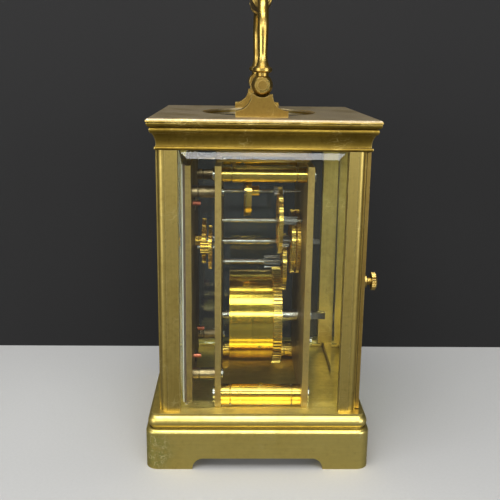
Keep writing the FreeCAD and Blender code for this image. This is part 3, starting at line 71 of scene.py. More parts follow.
class Slot(Enum):
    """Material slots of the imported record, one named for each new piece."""

    CASE_BRASS = "case_brass"
    PLATE_BRASS = "plate_brass"
    POLISHED_BRASS = "polished_brass"
    STEEL = "steel"
    BLUED_STEEL = "blued_steel"
    ENAMEL = "enamel"
    COPPER = "copper"
    GLASS = "glass"


class Body(Enum):
    """Moving bodies that pieces ride on."""

    CASE = "case"
    HANDLE = "handle"
    DOOR = "door"
    KNOB = "door_knob"
    BARREL = "barrel"


def paint(red: int, green: int, blue: int) -> Colour:
    """Linear colour from 0-255 display values.

    Args:
        red: Display red.
        green: Display green.
        blue: Display blue.

    Returns:
        The three linear values.
    """

    def linear(value: float) -> float:
        """Linear light of one display value between 0 and 1."""
        return value / 12.92 if value <= 0.04045 else ((value + 0.055) / 1.055) ** 2.4

    return (linear(red / 255), linear(green / 255), linear(blue / 255))


# ---- Shader trees -------------------------------------------------------------------------
class ShaderBench:
    """Adds and joins nodes in one shader tree."""

    def __init__(self, tree: bpy.types.NodeTree) -> None:
        """Keep the tree that nodes are added to.

        Args:
            tree: Material or group tree.
        """
        self.tree = tree

    def add(self, kind: str, **settings: object) -> bpy.types.Node:
        """Add a node.

        Args:
            kind: Node type name.
            **settings: Node properties.

        Returns:
            The new node.
        """
        node = self.tree.nodes.new(kind)
        for name, value in settings.items():
            setattr(node, name, value)
        return node

    def feed(self, socket: bpy.types.NodeSocket, source: object) -> None:
        """Link a socket to a source socket, or set its value.

        Args:
            socket: Input socket.
            source: Output socket, number, colour or vector.
        """
        if isinstance(source, bpy.types.NodeSocket):
            self.tree.links.new(source, socket)
        elif isinstance(source, tuple) and socket.type == "RGBA" and len(source) == 3:
            socket.default_value = (*source, 1.0)
        else:
            socket.default_value = source

    def math(self, operation: str, first: object, second: object = 0.0,
             clamp: bool = False) -> bpy.types.NodeSocket:
        """Arithmetic on two values.

        Args:
            operation: Blender's name of the operation.
            first: First value or socket.
            second: Second value or socket.
            clamp: Whether the result is kept between 0 and 1.

        Returns:
            The result's socket.
        """
        node = self.add("ShaderNodeMath", operation=operation, use_clamp=clamp)
        self.feed(node.inputs[0], first)
        self.feed(node.inputs[1], second)
        return node.outputs[0]

    def ramp(self, value: object, low: float, high: float) -> bpy.types.NodeSocket:
        """Mask that rises from 0 to 1 between two values.

        Args:
            value: Socket to read.
            low: Where the mask leaves 0.
            high: Where it reaches 1.

        Returns:
            The mask's socket.
        """
        node = self.add("ShaderNodeMapRange", interpolation_type="SMOOTHSTEP")
        self.feed(node.inputs["Value"], value)
        node.inputs["From Min"].default_value = low
        node.inputs["From Max"].default_value = high
        return node.outputs["Result"]

    def blend(self, share: object, first: object, second: object) -> bpy.types.NodeSocket:
        """Mix two colours.

        Args:
            share: Share of the second colour.
            first: First colour.
            second: Second colour.

        Returns:
            The mixed colour's socket.
        """
        node = self.add("ShaderNodeMix", data_type="RGBA", clamp_factor=True)
        self.feed(node.inputs[0], share)
        self.feed(node.inputs[6], first)
        self.feed(node.inputs[7], second)
        return node.outputs[2]

    def noise(self, vector: object, scale: object, detail: float = 2.0,
              rough: float = 0.5) -> bpy.types.NodeSocket:
        """Three-dimensional noise between 0 and 1.

        Args:
            vector: Where it is read.
            scale: How fine it is, per metre.
            detail: Number of finer layers.
            rough: Strength of the finer layers.

        Returns:
            The noise's socket.
        """
        node = self.add("ShaderNodeTexNoise")
        self.feed(node.inputs["Vector"], vector)
        self.feed(node.inputs["Scale"], scale)
        node.inputs["Detail"].default_value = detail
        node.inputs["Roughness"].default_value = rough
        return node.outputs["Fac"]

    def stripes(self, along: object, scale: object) -> bpy.types.NodeSocket:
        """Noise along one value only.

        Args:
            along: Value that it changes along.
            scale: How fine it is.

        Returns:
            The noise's socket.
        """
        node = self.add("ShaderNodeTexNoise", noise_dimensions="1D")
        self.feed(node.inputs["W"], along)
        self.feed(node.inputs["Scale"], scale)
        node.inputs["Detail"].default_value = 2.0
        return node.outputs["Fac"]

    def place(self) -> bpy.types.NodeSocket:
        """Object coordinates, in metres."""
        return self.add("ShaderNodeTexCoord").outputs["Object"]

    def along(self, axis: str) -> bpy.types.NodeSocket:
        """Object coordinate along one axis, in metres.

        Args:
            axis: X, Y or Z.

        Returns:
            The coordinate's socket.
        """
        parts = self.add("ShaderNodeSeparateXYZ")
        self.feed(parts.inputs[0], self.place())
        return parts.outputs[axis]

    def principled(self, colour: object, rough: object, metallic: float = 0.0) -> bpy.types.Node:
        """Main surface shader.

        Args:
            colour: Base colour.
            rough: Roughness.
            metallic: Metallic value.

        Returns:
            The shader node.
        """
        node = self.add("ShaderNodeBsdfPrincipled")
        node.inputs["Metallic"].default_value = metallic
        self.feed(node.inputs["Base Color"], colour)
        self.feed(node.inputs["Roughness"], rough)
        return node

    def effect(self, effect: "Effect", **inputs: object) -> bpy.types.Node:
        """Place a shared effect.

        Args:
            effect: The effect.
            **inputs: Its input values by name, with _ for spaces.

        Returns:
            The group node.
        """
        node = self.add("ShaderNodeGroup")
        node.node_tree = effect.group()
        for name, value in inputs.items():
            self.feed(node.inputs[name.replace("_", " ")], value)
        return node


class Effect(ABC):
    """A surface effect shared by several finishes, kept as a shader node group."""

    label: str
    inputs: dict[str, tuple[str, object]]
    outputs: dict[str, str]

    def group(self) -> bpy.types.NodeTree:
        """The effect's node group, built on first use.

        Returns:
            The group.
        """
        found = bpy.data.node_groups.get(self.label)
        if found:
            return found
        tree = bpy.data.node_groups.new(self.label, "ShaderNodeTree")
        for name, (kind, value) in self.inputs.items():
            socket = tree.interface.new_socket(name, in_out="INPUT", socket_type=kind)
            socket.default_value = value
        for name, kind in self.outputs.items():
            tree.interface.new_socket(name, in_out="OUTPUT", socket_type=kind)
        bench = ShaderBench(tree)
        self.wire(bench, bench.add("NodeGroupInput").outputs, bench.add("NodeGroupOutput").inputs)
        return tree

    @abstractmethod
    def wire(self, bench: ShaderBench, given: bpy.types.NodeOutputs,
             result: bpy.types.NodeInputs) -> None:
        """Wire the group.

        Args:
            bench: Adds nodes to the group.
            given: The group's input values.
            result: Where the group's results go.
        """


class EdgeWearAndCornerShade(Effect):
    """Rubbed bright metal on outside edges, and grime with painted shade in inside corners, read from ambient
    occlusion.
    """

    label = "edge_wear"
    inputs = {"Reach": ("NodeSocketFloat", 0.0006), "Patchiness": ("NodeSocketFloat", 160.0)}
    outputs = {"Rubbed": "NodeSocketFloat", "Grime And Shade": "NodeSocketFloat"}

    def wire(self, bench: ShaderBench, given: bpy.types.NodeOutputs,
             result: bpy.types.NodeInputs) -> None:
        """Compare the rounded normal with the true one, and split outside from inside.

        Args:
            bench: Adds nodes to the group.
            given: The group's input values.
            result: Where the group's results go.
        """
        rounded = bench.add("ShaderNodeBevel", samples=4)
        bench.feed(rounded.inputs["Radius"], given["Reach"])
        true_normal = bench.add("ShaderNodeNewGeometry").outputs["Normal"]
        dot = bench.add("ShaderNodeVectorMath", operation="DOT_PRODUCT")
        bench.feed(dot.inputs[0], rounded.outputs["Normal"])
        bench.feed(dot.inputs[1], true_normal)
        turned = bench.ramp(bench.math("SUBTRACT", 1.0, dot.outputs["Value"]), 0.01, 0.16)
        shade = bench.add("ShaderNodeAmbientOcclusion", samples=6, only_local=True)
        shade.inputs["Distance"].default_value = 1.6 * MM
        open_sky = shade.outputs["AO"]
        patches = bench.ramp(bench.noise(bench.place(), given["Patchiness"], 5.0, 0.65), 0.36, 0.62)
        outside = bench.ramp(open_sky, 0.80, 0.97)
        bench.feed(result["Rubbed"], bench.math("MULTIPLY", bench.math("MULTIPLY", turned, outside), patches))
        # Inside-corner mask from ambient occlusion: grime, and painted shade where the corners are occluded.
        bench.feed(result["Grime And Shade"], bench.ramp(bench.math("SUBTRACT", 1.0, open_sky), 0.22, 0.62))


class Tarnish(Effect):
    """Cloudy darkening of old lacquer, with finer speckle inside it."""

    label = "tarnish"
    inputs = {"Scale": ("NodeSocketFloat", 45.0), "Shift": ("NodeSocketVector", (0.0, 0.0, 0.0))}
    outputs = {"Clouds": "NodeSocketFloat", "Speckle": "NodeSocketFloat"}

    def wire(self, bench: ShaderBench, given: bpy.types.NodeOutputs,
             result: bpy.types.NodeInputs) -> None:
        """Layer coarse and fine noise.

        Args:
            bench: Adds nodes to the group.
            given: The group's input values.
            result: Where the group's results go.
        """
        moved = bench.add("ShaderNodeVectorMath", operation="ADD")
        bench.feed(moved.inputs[0], bench.place())
        bench.feed(moved.inputs[1], given["Shift"])
        coarse = bench.noise(moved.outputs[0], given["Scale"], 4.0, 0.6)
        fine = bench.noise(moved.outputs[0], bench.math("MULTIPLY", given["Scale"], 14.0), 3.0, 0.6)
        both = bench.math("ADD", bench.math("MULTIPLY", coarse, 0.8), bench.math("MULTIPLY", fine, 0.2))
        bench.feed(result["Clouds"], bench.ramp(both, 0.38, 0.64))
        bench.feed(result["Speckle"], bench.ramp(fine, 0.56, 0.74))


class FineScratches(Effect):
    """Hairline handling marks in two crossing directions."""

    label = "fine_scratches"
    inputs = {"Scale": ("NodeSocketFloat", 1.0)}
    outputs = {"Marks": "NodeSocketFloat"}

    def wire(self, bench: ShaderBench, given: bpy.types.NodeOutputs,
             result: bpy.types.NodeInputs) -> None:
        """Threshold stretched noise into hairlines, and break them into patches.

        Args:
            bench: Adds nodes to the group.
            given: The group's input values.
            result: Where the group's results go.
        """
        total: object = 0.0
        for turn, stretch in (((0.5, 0.35, 0.9), (2600.0, 190.0, 260.0)),
                              ((1.1, 2.1, 0.2), (240.0, 210.0, 2300.0))):
            mapping = bench.add("ShaderNodeMapping")
            bench.feed(mapping.inputs["Vector"], bench.place())
            mapping.inputs["Rotation"].default_value = turn
            mapping.inputs["Scale"].default_value = stretch
            lines = bench.noise(mapping.outputs[0], given["Scale"], 0.0)
            off = bench.math("ABSOLUTE", bench.math("SUBTRACT", lines, 0.5))
            total = bench.math("ADD", bench.ramp(off, 0.03, 0.008), total, True)
        patches = bench.ramp(bench.noise(bench.place(), 90.0, 3.0), 0.52, 0.68)
        bench.feed(result["Marks"], bench.math("MULTIPLY", total, patches))


class MetalGrain(Effect):
    """Fine matt grain of cast or gilt metal."""

    label = "metal_grain"
    inputs = {"Scale": ("NodeSocketFloat", 2600.0)}
    outputs = {"Height": "NodeSocketFloat"}

    def wire(self, bench: ShaderBench, given: bpy.types.NodeOutputs,
             result: bpy.types.NodeInputs) -> None:
        """Sum a fine noise and a soft uneven surface.

        Args:
            bench: Adds nodes to the group.
            given: The group's input values.
            result: Where the group's results go.
        """
        fine = bench.noise(bench.place(), given["Scale"], 2.0, 0.6)
        swell = bench.noise(bench.place(), bench.math("MULTIPLY", given["Scale"], 0.06), 1.0)
        bench.feed(result["Height"], bench.math("ADD", fine, bench.math("MULTIPLY", swell, 1.5)))


class BrushedStreaks(Effect):
    """Streaks that old polishing and lacquer leave along a piece."""

    label = "brushed_streaks"
    inputs = {"Stretch": ("NodeSocketVector", (1.0, 1.0, 0.05)), "Scale": ("NodeSocketFloat", 900.0)}
    outputs = {"Tone": "NodeSocketFloat"}

    def wire(self, bench: ShaderBench, given: bpy.types.NodeOutputs,
             result: bpy.types.NodeInputs) -> None:
        """Stretch a noise along the polishing direction.

        Args:
            bench: Adds nodes to the group.
            given: The group's input values.
            result: Where the group's results go.
        """
        stretched = bench.add("ShaderNodeVectorMath", operation="MULTIPLY")
        bench.feed(stretched.inputs[0], bench.place())
        bench.feed(stretched.inputs[1], given["Stretch"])
        fine = bench.noise(stretched.outputs[0], given["Scale"], 4.0, 0.65)
        bench.feed(result["Tone"], bench.ramp(fine, 0.32, 0.68))


class TurningLines(Effect):
    """Lathe lines round an axis along Y: rings on flat faces, hoops on walls."""

    label = "turning_lines"
    inputs = {"Centre": ("NodeSocketVector", (0.0, 0.0, 0.0)), "Lines": ("NodeSocketFloat", 2600.0)}
    outputs = {"Height": "NodeSocketFloat", "Tone": "NodeSocketFloat"}

    def wire(self, bench: ShaderBench, given: bpy.types.NodeOutputs,
             result: bpy.types.NodeInputs) -> None:
        """Read the distance from the axis and the place along it.

        Args:
            bench: Adds nodes to the group.
            given: The group's input values.
            result: Where the group's results go.
        """
        offset = bench.add("ShaderNodeVectorMath", operation="SUBTRACT")
        bench.feed(offset.inputs[0], bench.place())
        bench.feed(offset.inputs[1], given["Centre"])
        parts = bench.add("ShaderNodeSeparateXYZ")
        bench.feed(parts.inputs[0], offset.outputs[0])
        square = bench.math("ADD", bench.math("POWER", parts.outputs["X"], 2.0),
                            bench.math("POWER", parts.outputs["Z"], 2.0))
        radius = bench.math("SQRT", square)
        both = bench.math("ADD", bench.stripes(radius, given["Lines"]),
                          bench.stripes(parts.outputs["Y"], given["Lines"]))
        slow = bench.math("MULTIPLY", given["Lines"], 0.2)
        tone = bench.math("MULTIPLY", bench.stripes(parts.outputs["Y"], slow), bench.stripes(radius, slow))
        bench.feed(result["Height"], both)
        bench.feed(result["Tone"], bench.ramp(tone, 0.12, 0.4))


EDGE_WEAR_AND_CORNER_SHADE, TARNISH, SCRATCHES = EdgeWearAndCornerShade(), Tarnish(), FineScratches()
GRAIN, STREAKS, TURNING = MetalGrain(), BrushedStreaks(), TurningLines()


# ---- Finishes -----------------------------------------------------------------------------
class Finish(ABC):
    """A surface finish that becomes one material."""

    name: str

    def material(self) -> bpy.types.Material:
        """The finish's material, made on first use.

        Returns:
            The material.
        """
        found = bpy.data.materials.get(self.name)
        if found:
            return found
        material = bpy.data.materials.new(self.name)
        material.use_nodes = True
        material.node_tree.nodes.clear()
        bench = ShaderBench(material.node_tree)
        output = bench.add("ShaderNodeOutputMaterial")
        bench.feed(output.inputs["Surface"], self.surface(bench))
        return material

    @abstractmethod
    def surface(self, bench: ShaderBench) -> bpy.types.NodeSocket:
        """Build the shader.

        Args:
            bench: Adds nodes to the material.

        Returns:
            The shader's output socket.
        """


@dataclass(frozen=True)
class AgedMetal(Finish):
    """Old metal: clouded body colour, rubbed edges, grime and painted shade in inside corners, grain and
    hairlines.

    Attributes:
        name: Material name.
        body: Main colour.
        clouded: Colour where it has tarnished.
        rubbed: Colour of worn edges.
        grime_and_shade: Colour in inside corners, grime and painted shade.
        roughness: Roughness of the main surface.
        cloud_share: Strength of the tarnish.
        wear_share: Strength of the rubbed edges.
        grain: Height of the grain, in metres.
        grain_scale: Fineness of the grain, per metre.
        scratch_share: Strength of the hairlines.
        cloud_scale: Fineness of the tarnish, per metre.
        wear_reach: How far wear reaches in from an edge, in metres.
        shift: Moves the clouds, so that two pieces differ.
        brushed: Stretch of the polishing streaks along X, Y and Z.
        streak_share: Strength of the streaks.
    """

    name: str
    body: Colour
    clouded: Colour
    rubbed: Colour
    # Grime and painted shade in inside corners.
    grime_and_shade: Colour = paint(58, 44, 20)
    roughness: float = 0.34
    cloud_share: float = 0.55
    wear_share: float = 0.8
    grain: float = 0.000006
    grain_scale: float = 2600.0
    scratch_share: float = 0.35
    cloud_scale: float = 42.0
    wear_reach: float = 0.0006
    shift: tuple[float, float, float] = (0.0, 0.0, 0.0)
    brushed: tuple[float, float, float] = (1.0, 1.0, 1.0)
    streak_share: float = 0.18

    def surface(self, bench: ShaderBench) -> bpy.types.NodeSocket:
        """Mix the layers into one metal shader.

        Args:
            bench: Adds nodes to the material.

        Returns:
            The shader's output socket.
        """
        clouds = bench.effect(TARNISH, Scale=self.cloud_scale, Shift=self.shift)
        wear = bench.effect(EDGE_WEAR_AND_CORNER_SHADE, Reach=self.wear_reach)
        marks = bench.effect(SCRATCHES).outputs["Marks"]
        dull = bench.math("MULTIPLY", clouds.outputs["Clouds"], self.cloud_share)
        streaks = bench.effect(STREAKS, Stretch=self.brushed).outputs["Tone"]
        dull = bench.math("ADD", dull, bench.math("MULTIPLY", clouds.outputs["Speckle"], 0.15), True)
        dull = bench.math("ADD", dull, bench.math("MULTIPLY", streaks, self.streak_share), True)
        worn = bench.math("MULTIPLY", wear.outputs["Rubbed"], self.wear_share)
        colour = bench.blend(dull, self.body, self.clouded)
        colour, dull = self.extra(bench, colour, dull)
        # Darken inside corners by ambient occlusion: grime and painted shade.
        colour = bench.blend(bench.math("MULTIPLY", wear.outputs["Grime And Shade"], 0.75), colour, self.grime_and_shade)
        colour = bench.blend(bench.math("MULTIPLY", marks, self.scratch_share), colour, self.rubbed)
        colour = bench.blend(worn, colour, self.rubbed)
        rough = bench.math("ADD", bench.math("MULTIPLY", dull, 0.16), self.roughness)
        rough = bench.math("SUBTRACT", rough, bench.math("MULTIPLY", worn, 0.12))
        rough = bench.math("ADD", rough, bench.math("MULTIPLY", wear.outputs["Grime And Shade"], 0.2), True)
        shader = bench.principled(colour, rough, metallic=1.0)
        bench.feed(shader.inputs["Normal"], self.relief(bench, marks))
        return shader.outputs[0]

    def extra(self, bench: ShaderBench, colour: bpy.types.NodeSocket,
              dull: bpy.types.NodeSocket) -> tuple[bpy.types.NodeSocket, bpy.types.NodeSocket]:
        """Room for a further colour layer.

        Args:
            bench: Adds nodes to the material.
            colour: Colour so far.
            dull: Tarnish mask so far.

        Returns:
            The colour and the mask, changed or not.
        """
        return colour, dull

    def relief(self, bench: ShaderBench, marks: bpy.types.NodeSocket) -> bpy.types.NodeSocket:
        """Bump of the grain, cut by the hairlines.

        Args:
            bench: Adds nodes to the material.
            marks: Hairline mask.

        Returns:
            The normal's socket.
        """
        grain = bench.effect(GRAIN, Scale=self.grain_scale).outputs["Height"]
        cut = bench.math("SUBTRACT", grain, bench.math("MULTIPLY", marks, 0.8 * self.scratch_share))
        bump = bench.add("ShaderNodeBump")
        bump.inputs["Distance"].default_value = self.grain
        bench.feed(bump.inputs["Height"], cut)
        return bump.outputs[0]


@dataclass(frozen=True)
class TopTarnishedMetal(AgedMetal):
    """Aged metal whose upper face has gone brown where hands and dust reach it.

    Attributes:
        level: Height above which it is brown, in metres.
        top_colour: Colour of the browned face.
        dust: Colour of the dust specks on it.
    """

    level: float = 0.1388
    top_colour: Colour = paint(168, 153, 124)
    dust: Colour = paint(214, 206, 186)

    def extra(self, bench: ShaderBench, colour: bpy.types.NodeSocket,
              dull: bpy.types.NodeSocket) -> tuple[bpy.types.NodeSocket, bpy.types.NodeSocket]:
        """Brown everything above the level, in patches.

        Args:
            bench: Adds nodes to the material.
            colour: Colour so far.
            dull: Tarnish mask so far.

        Returns:
            The colour and the mask with the top added.
        """
        high = bench.ramp(bench.along("Z"), self.level, self.level + 0.7 * MM)
        patches = bench.ramp(bench.noise(bench.place(), 70.0, 6.0, 0.7), 0.3, 0.55)
        share = bench.math("MULTIPLY", high, bench.math("ADD", bench.math("MULTIPLY", patches, 0.45), 0.5))
        colour = bench.blend(share, colour, self.top_colour)
        specks = bench.ramp(bench.noise(bench.place(), 1300.0, 3.0, 0.7), 0.56, 0.66)
        dusty = bench.math("MULTIPLY", bench.math("MULTIPLY", high, specks), 0.6)
        colour = bench.blend(dusty, colour, self.dust)
        return colour, bench.math("MAXIMUM", dull, share)


@dataclass(frozen=True)
class KnockedMetal(AgedMetal):
    """Aged metal with one corner gone green and scuffed by knocks.

    Attributes:
        knock: Middle of the scuffed corner, in metres.
        knock_reach: Radius of the scuffed patch, in metres.
        green: Colour of the patch.
    """

    knock: tuple[float, float, float] = (0.047, -0.043, 0.008)
    knock_reach: float = 0.012
    green: Colour = paint(168, 168, 92)

    def extra(self, bench: ShaderBench, colour: bpy.types.NodeSocket,
              dull: bpy.types.NodeSocket) -> tuple[bpy.types.NodeSocket, bpy.types.NodeSocket]:
        """Green and scuff the corner.

        Args:
            bench: Adds nodes to the material.
            colour: Colour so far.
            dull: Tarnish mask so far.

        Returns:
            The colour and the mask with the corner added.
        """
        away = bench.add("ShaderNodeVectorMath", operation="DISTANCE")
        bench.feed(away.inputs[0], bench.place())
        away.inputs[1].default_value = self.knock
        near = bench.ramp(away.outputs["Value"], self.knock_reach, 0.35 * self.knock_reach)
        ragged = bench.noise(bench.place(), 420.0, 6.0, 0.75)
        stain = bench.math("MULTIPLY", near, bench.ramp(ragged, 0.25, 0.6))
        veins = bench.math("ABSOLUTE", bench.math("SUBTRACT", bench.noise(bench.place(), 330.0, 3.0), 0.5))
        scuffs = bench.math("MULTIPLY", bench.math("MULTIPLY", bench.ramp(veins, 0.035, 0.012), near),
                            bench.ramp(ragged, 0.42, 0.58))
        colour = bench.blend(bench.math("MULTIPLY", stain, 0.7), colour, self.green)
        colour = bench.blend(scuffs, colour, self.rubbed)
        return colour, bench.math("MAXIMUM", dull, bench.math("MULTIPLY", stain, 0.9))


@dataclass(frozen=True)
class TurnedMetal(AgedMetal):
    """Polished metal with lathe lines round an axis along Y.

    Attributes:
        centre: A point on the axis, in metres.
        lines: Fineness of the lathe lines, per metre.
        line_height: Height of the lathe lines, in metres.
    """

    centre: tuple[float, float, float] = (0.0, 0.0, 0.0)
    lines: float = 2400.0
    line_height: float = 0.000004

    def extra(self, bench: ShaderBench, colour: bpy.types.NodeSocket,
              dull: bpy.types.NodeSocket) -> tuple[bpy.types.NodeSocket, bpy.types.NodeSocket]:
        """Darken some rings slightly.

        Args:
            bench: Adds nodes to the material.
            colour: Colour so far.
            dull: Tarnish mask so far.

        Returns:
            The ringed colour and the mask.
        """
        tone = bench.effect(TURNING, Centre=self.centre, Lines=self.lines).outputs["Tone"]
        return bench.blend(bench.math("MULTIPLY", tone, 0.3), colour, self.clouded), dull

    def relief(self, bench: ShaderBench, marks: bpy.types.NodeSocket) -> bpy.types.NodeSocket:
        """Bump of the lathe lines over the grain.

        Args:
            bench: Adds nodes to the material.
            marks: Hairline mask.

        Returns:
            The normal's socket.
        """
        rings = bench.effect(TURNING, Centre=self.centre, Lines=self.lines).outputs["Height"]
        bump = bench.add("ShaderNodeBump")
        bump.inputs["Distance"].default_value = self.line_height
        bench.feed(bump.inputs["Height"], rings)
        bench.feed(bump.inputs["Normal"], super().relief(bench, marks))
        return bump.outputs[0]


@dataclass(frozen=True)
class BluedSteel(Finish):
    """Heat-blued steel that drifts between violet and cornflower.

    Attributes:
        name: Material name.
        deep: Darker blue.
        bright: Lighter blue.
        scored: Colour of the hairlines through the blue.
    """

    name: str = "heat_blued_steel"
    deep: Colour = paint(22, 26, 82)
    bright: Colour = paint(52, 74, 168)
    scored: Colour = paint(150, 152, 160)

    def surface(self, bench: ShaderBench) -> bpy.types.NodeSocket:
        """Drift the oxide colour over the piece.

        Args:
            bench: Adds nodes to the material.

        Returns:
            The shader's output socket.
        """
        drift = bench.effect(TARNISH, Scale=120.0)
        marks = bench.effect(SCRATCHES).outputs["Marks"]
        colour = bench.blend(drift.outputs["Clouds"], self.deep, self.bright)
        colour = bench.blend(bench.math("MULTIPLY", marks, 0.3), colour, self.scored)
        rough = bench.math("ADD", bench.math("MULTIPLY", drift.outputs["Speckle"], 0.1), 0.22)
        return bench.principled(colour, rough, metallic=1.0).outputs[0]


@dataclass(frozen=True)
class DialEnamel(Finish):
    """Glossy white vitreous enamel with a faint orange-peel surface and age toning.

    Attributes:
        name: Material name.
        white: Main colour.
        toned: Colour of the aged patches.
        pit: Colour of the pin-holes.
        counter: Colour of the copper body behind the white glaze.
        glaze: Thickness of the white glaze, in metres.
        front: Place of the dial's front face along Y, in metres.
    """

    name: str = "dial_enamel"
    white: Colour = paint(238, 236, 228)
    toned: Colour = paint(222, 214, 194)
    pit: Colour = paint(120, 112, 98)
    counter: Colour = paint(92, 74, 58)
    glaze: float = 0.5 * MM
    front: float = -30.0 * MM

    def surface(self, bench: ShaderBench) -> bpy.types.NodeSocket:
        """White glaze with toning, pin-holes and slow waves.

        Args:
            bench: Adds nodes to the material.

        Returns:
            The shader's output socket.
        """
        toning = bench.effect(TARNISH, Scale=30.0)
        colour = bench.blend(bench.math("MULTIPLY", toning.outputs["Clouds"], 0.5), self.white, self.toned)
        pits = bench.ramp(bench.noise(bench.place(), 1500.0, 1.0), 0.76, 0.8)
        colour = bench.blend(bench.math("MULTIPLY", pits, 0.5), colour, self.pit)
        edge, blur = self.front + self.glaze, 0.1 * MM
        behind = bench.ramp(bench.along("Y"), edge - blur, edge + blur)
        colour = bench.blend(behind, colour, self.counter)
        wave = bench.add("ShaderNodeBump")
        wave.inputs["Distance"].default_value = 0.03 * MM
        bench.feed(wave.inputs["Height"], bench.noise(bench.place(), 260.0, 1.0))
        rough = bench.math("ADD", bench.math("MULTIPLY", toning.outputs["Speckle"], 0.1), 0.2)
        shader = bench.principled(colour, rough)
        shader.inputs["Coat Weight"].default_value = 0.6
        shader.inputs["Coat Roughness"].default_value = 0.04
        bench.feed(shader.inputs["Normal"], wave.outputs[0])
        return shader.outputs[0]


@dataclass(frozen=True)
class FiredInk(Finish):
    """Black ceramic ink fired on enamel, a little thin in places.

    Attributes:
        name: Material name.
        black: Full ink.
        thin: Thin ink.
    """

    name: str = "fired_ink"
    black: Colour = paint(20, 19, 22)
    thin: Colour = paint(58, 54, 56)

    def surface(self, bench: ShaderBench) -> bpy.types.NodeSocket:
        """Uneven ink with a soft gloss.

        Args:
            bench: Adds nodes to the material.

        Returns:
            The shader's output socket.
        """
        uneven = bench.effect(TARNISH, Scale=420.0)
        colour = bench.blend(bench.math("MULTIPLY", uneven.outputs["Clouds"], 0.5), self.black, self.thin)
        rough = bench.math("ADD", bench.math("MULTIPLY", uneven.outputs["Speckle"], 0.2), 0.28)
        return bench.principled(colour, rough).outputs[0]


@dataclass(frozen=True)
class PlateGlass(Finish):
    """Old bevelled glass: faint green, with a breath of dust. Light passes it freely.

    Attributes:
        name: Material name.
        tint: Colour of the glass.
        dusty: Colour of its specks of dust.
        dust: Roughness along the hairlines.
        index: Its refractive index.
    """

    name: str = "bevelled_glass"
    tint: Colour = paint(246, 251, 247)
    dusty: Colour = paint(226, 230, 222)
    dust: float = 0.05
    index: float = 1.46

    def surface(self, bench: ShaderBench) -> bpy.types.NodeSocket:
        """Clear glass to the eye, open to shadow rays.

        Args:
            bench: Adds nodes to the material.

        Returns:
            The shader's output socket.
        """
        film = bench.effect(TARNISH, Scale=34.0)
        marks = bench.effect(SCRATCHES).outputs["Marks"]
        colour = bench.blend(bench.math("MULTIPLY", film.outputs["Speckle"], 0.25), self.tint, self.dusty)
        shader = bench.principled(colour, bench.math("MULTIPLY", marks, self.dust))
        shader.inputs["Transmission Weight"].default_value = 1.0
        shader.inputs["IOR"].default_value = self.index
        clear = bench.add("ShaderNodeBsdfTransparent")
        bench.feed(clear.inputs["Color"], self.tint)
        mix = bench.add("ShaderNodeMixShader")
        bench.feed(mix.inputs[0], bench.add("ShaderNodeLightPath").outputs["Is Shadow Ray"])
        bench.feed(mix.inputs[1], shader.outputs[0])
        bench.feed(mix.inputs[2], clear.outputs[0])
        return mix.outputs[0]


@dataclass(frozen=True)
class Ruby(Finish):
    """Pink-red synthetic ruby of the jewel holes.

    Attributes:
        name: Material name.
        red: Main colour.
        pale: Colour of the lighter streaks.
    """

    name: str = "ruby"
    red: Colour = paint(168, 22, 58)
    pale: Colour = paint(226, 84, 118)

    def surface(self, bench: ShaderBench) -> bpy.types.NodeSocket:
        """Glossy stone with lighter streaks.

        Args:
            bench: Adds nodes to the material.

        Returns:
            The shader's output socket.
        """
        streaks = bench.effect(TARNISH, Scale=900.0)
        rough = bench.math("ADD", bench.math("MULTIPLY", streaks.outputs["Speckle"], 0.1), 0.08)
        shader = bench.principled(bench.blend(streaks.outputs["Clouds"], self.red, self.pale), rough)
        shader.inputs["Coat Weight"].default_value = 1.0
        return shader.outputs[0]


ALONG_Z, ALONG_Y = (1.0, 1.0, 0.05), (1.0, 0.05, 1.0)
CASE_BRASS = AgedMetal("case_brass_aged", paint(214, 190, 108), paint(150, 128, 62), paint(246, 230, 160),
                       brushed=ALONG_Z)
BASE_BRASS = KnockedMetal("base_brass_aged", paint(248, 226, 132), paint(200, 176, 90),
                          paint(250, 236, 170), cloud_scale=30.0, scratch_share=0.5,
                          shift=(0.3, 0.1, 0.0), brushed=ALONG_Y)
CORNICE_BRASS = TopTarnishedMetal("cornice_brass_aged", paint(164, 138, 58), paint(104, 82, 30),
                                  paint(250, 226, 148), shift=(0.7, 0.2, 0.5), brushed=ALONG_Y)
BRACKET_BRASS = AgedMetal("bracket_brass_aged", paint(158, 128, 62), paint(106, 82, 36),
                          paint(250, 222, 140), wear_reach=0.0008, shift=(0.9, 0.4, 0.2))
HANDLE_BRASS = AgedMetal("handle_brass_rubbed", paint(214, 184, 100), paint(150, 118, 50),
                         paint(250, 230, 162), roughness=0.24, cloud_share=0.7, cloud_scale=150.0,
                         shift=(0.1, 0.8, 0.3))
DOOR_BRASS = AgedMetal("door_brass_aged", paint(188, 158, 84), paint(130, 104, 50), paint(238, 212, 140),
                       shift=(0.4, 0.6, 0.1), brushed=ALONG_Z)
PLATE_BRASS = AgedMetal("plate_brass_grained", paint(178, 150, 88), paint(118, 96, 52),
                        paint(216, 190, 122), roughness=0.42, grain=0.000016, grain_scale=3400.0,
                        scratch_share=0.1, wear_reach=0.0003, wear_share=0.5)
POST_BRASS = AgedMetal("post_brass_dull", paint(160, 140, 104), paint(96, 80, 56), paint(206, 188, 148),
                       roughness=0.3, cloud_scale=120.0, wear_reach=0.0003, wear_share=0.5)
GEAR_BRASS = AgedMetal("gear_brass_polished", paint(236, 196, 88), paint(178, 132, 44),
                       paint(255, 232, 150), roughness=0.2, cloud_share=0.35, cloud_scale=90.0,
                       grain=0.000003, wear_reach=0.0002)
STEEL = AgedMetal("arbor_steel_polished", paint(186, 184, 178), paint(112, 106, 98), paint(232, 230, 224),
                  grime_and_shade=paint(40, 36, 32), roughness=0.16, cloud_share=0.4, cloud_scale=160.0,
                  grain=0.000003, wear_reach=0.0002)
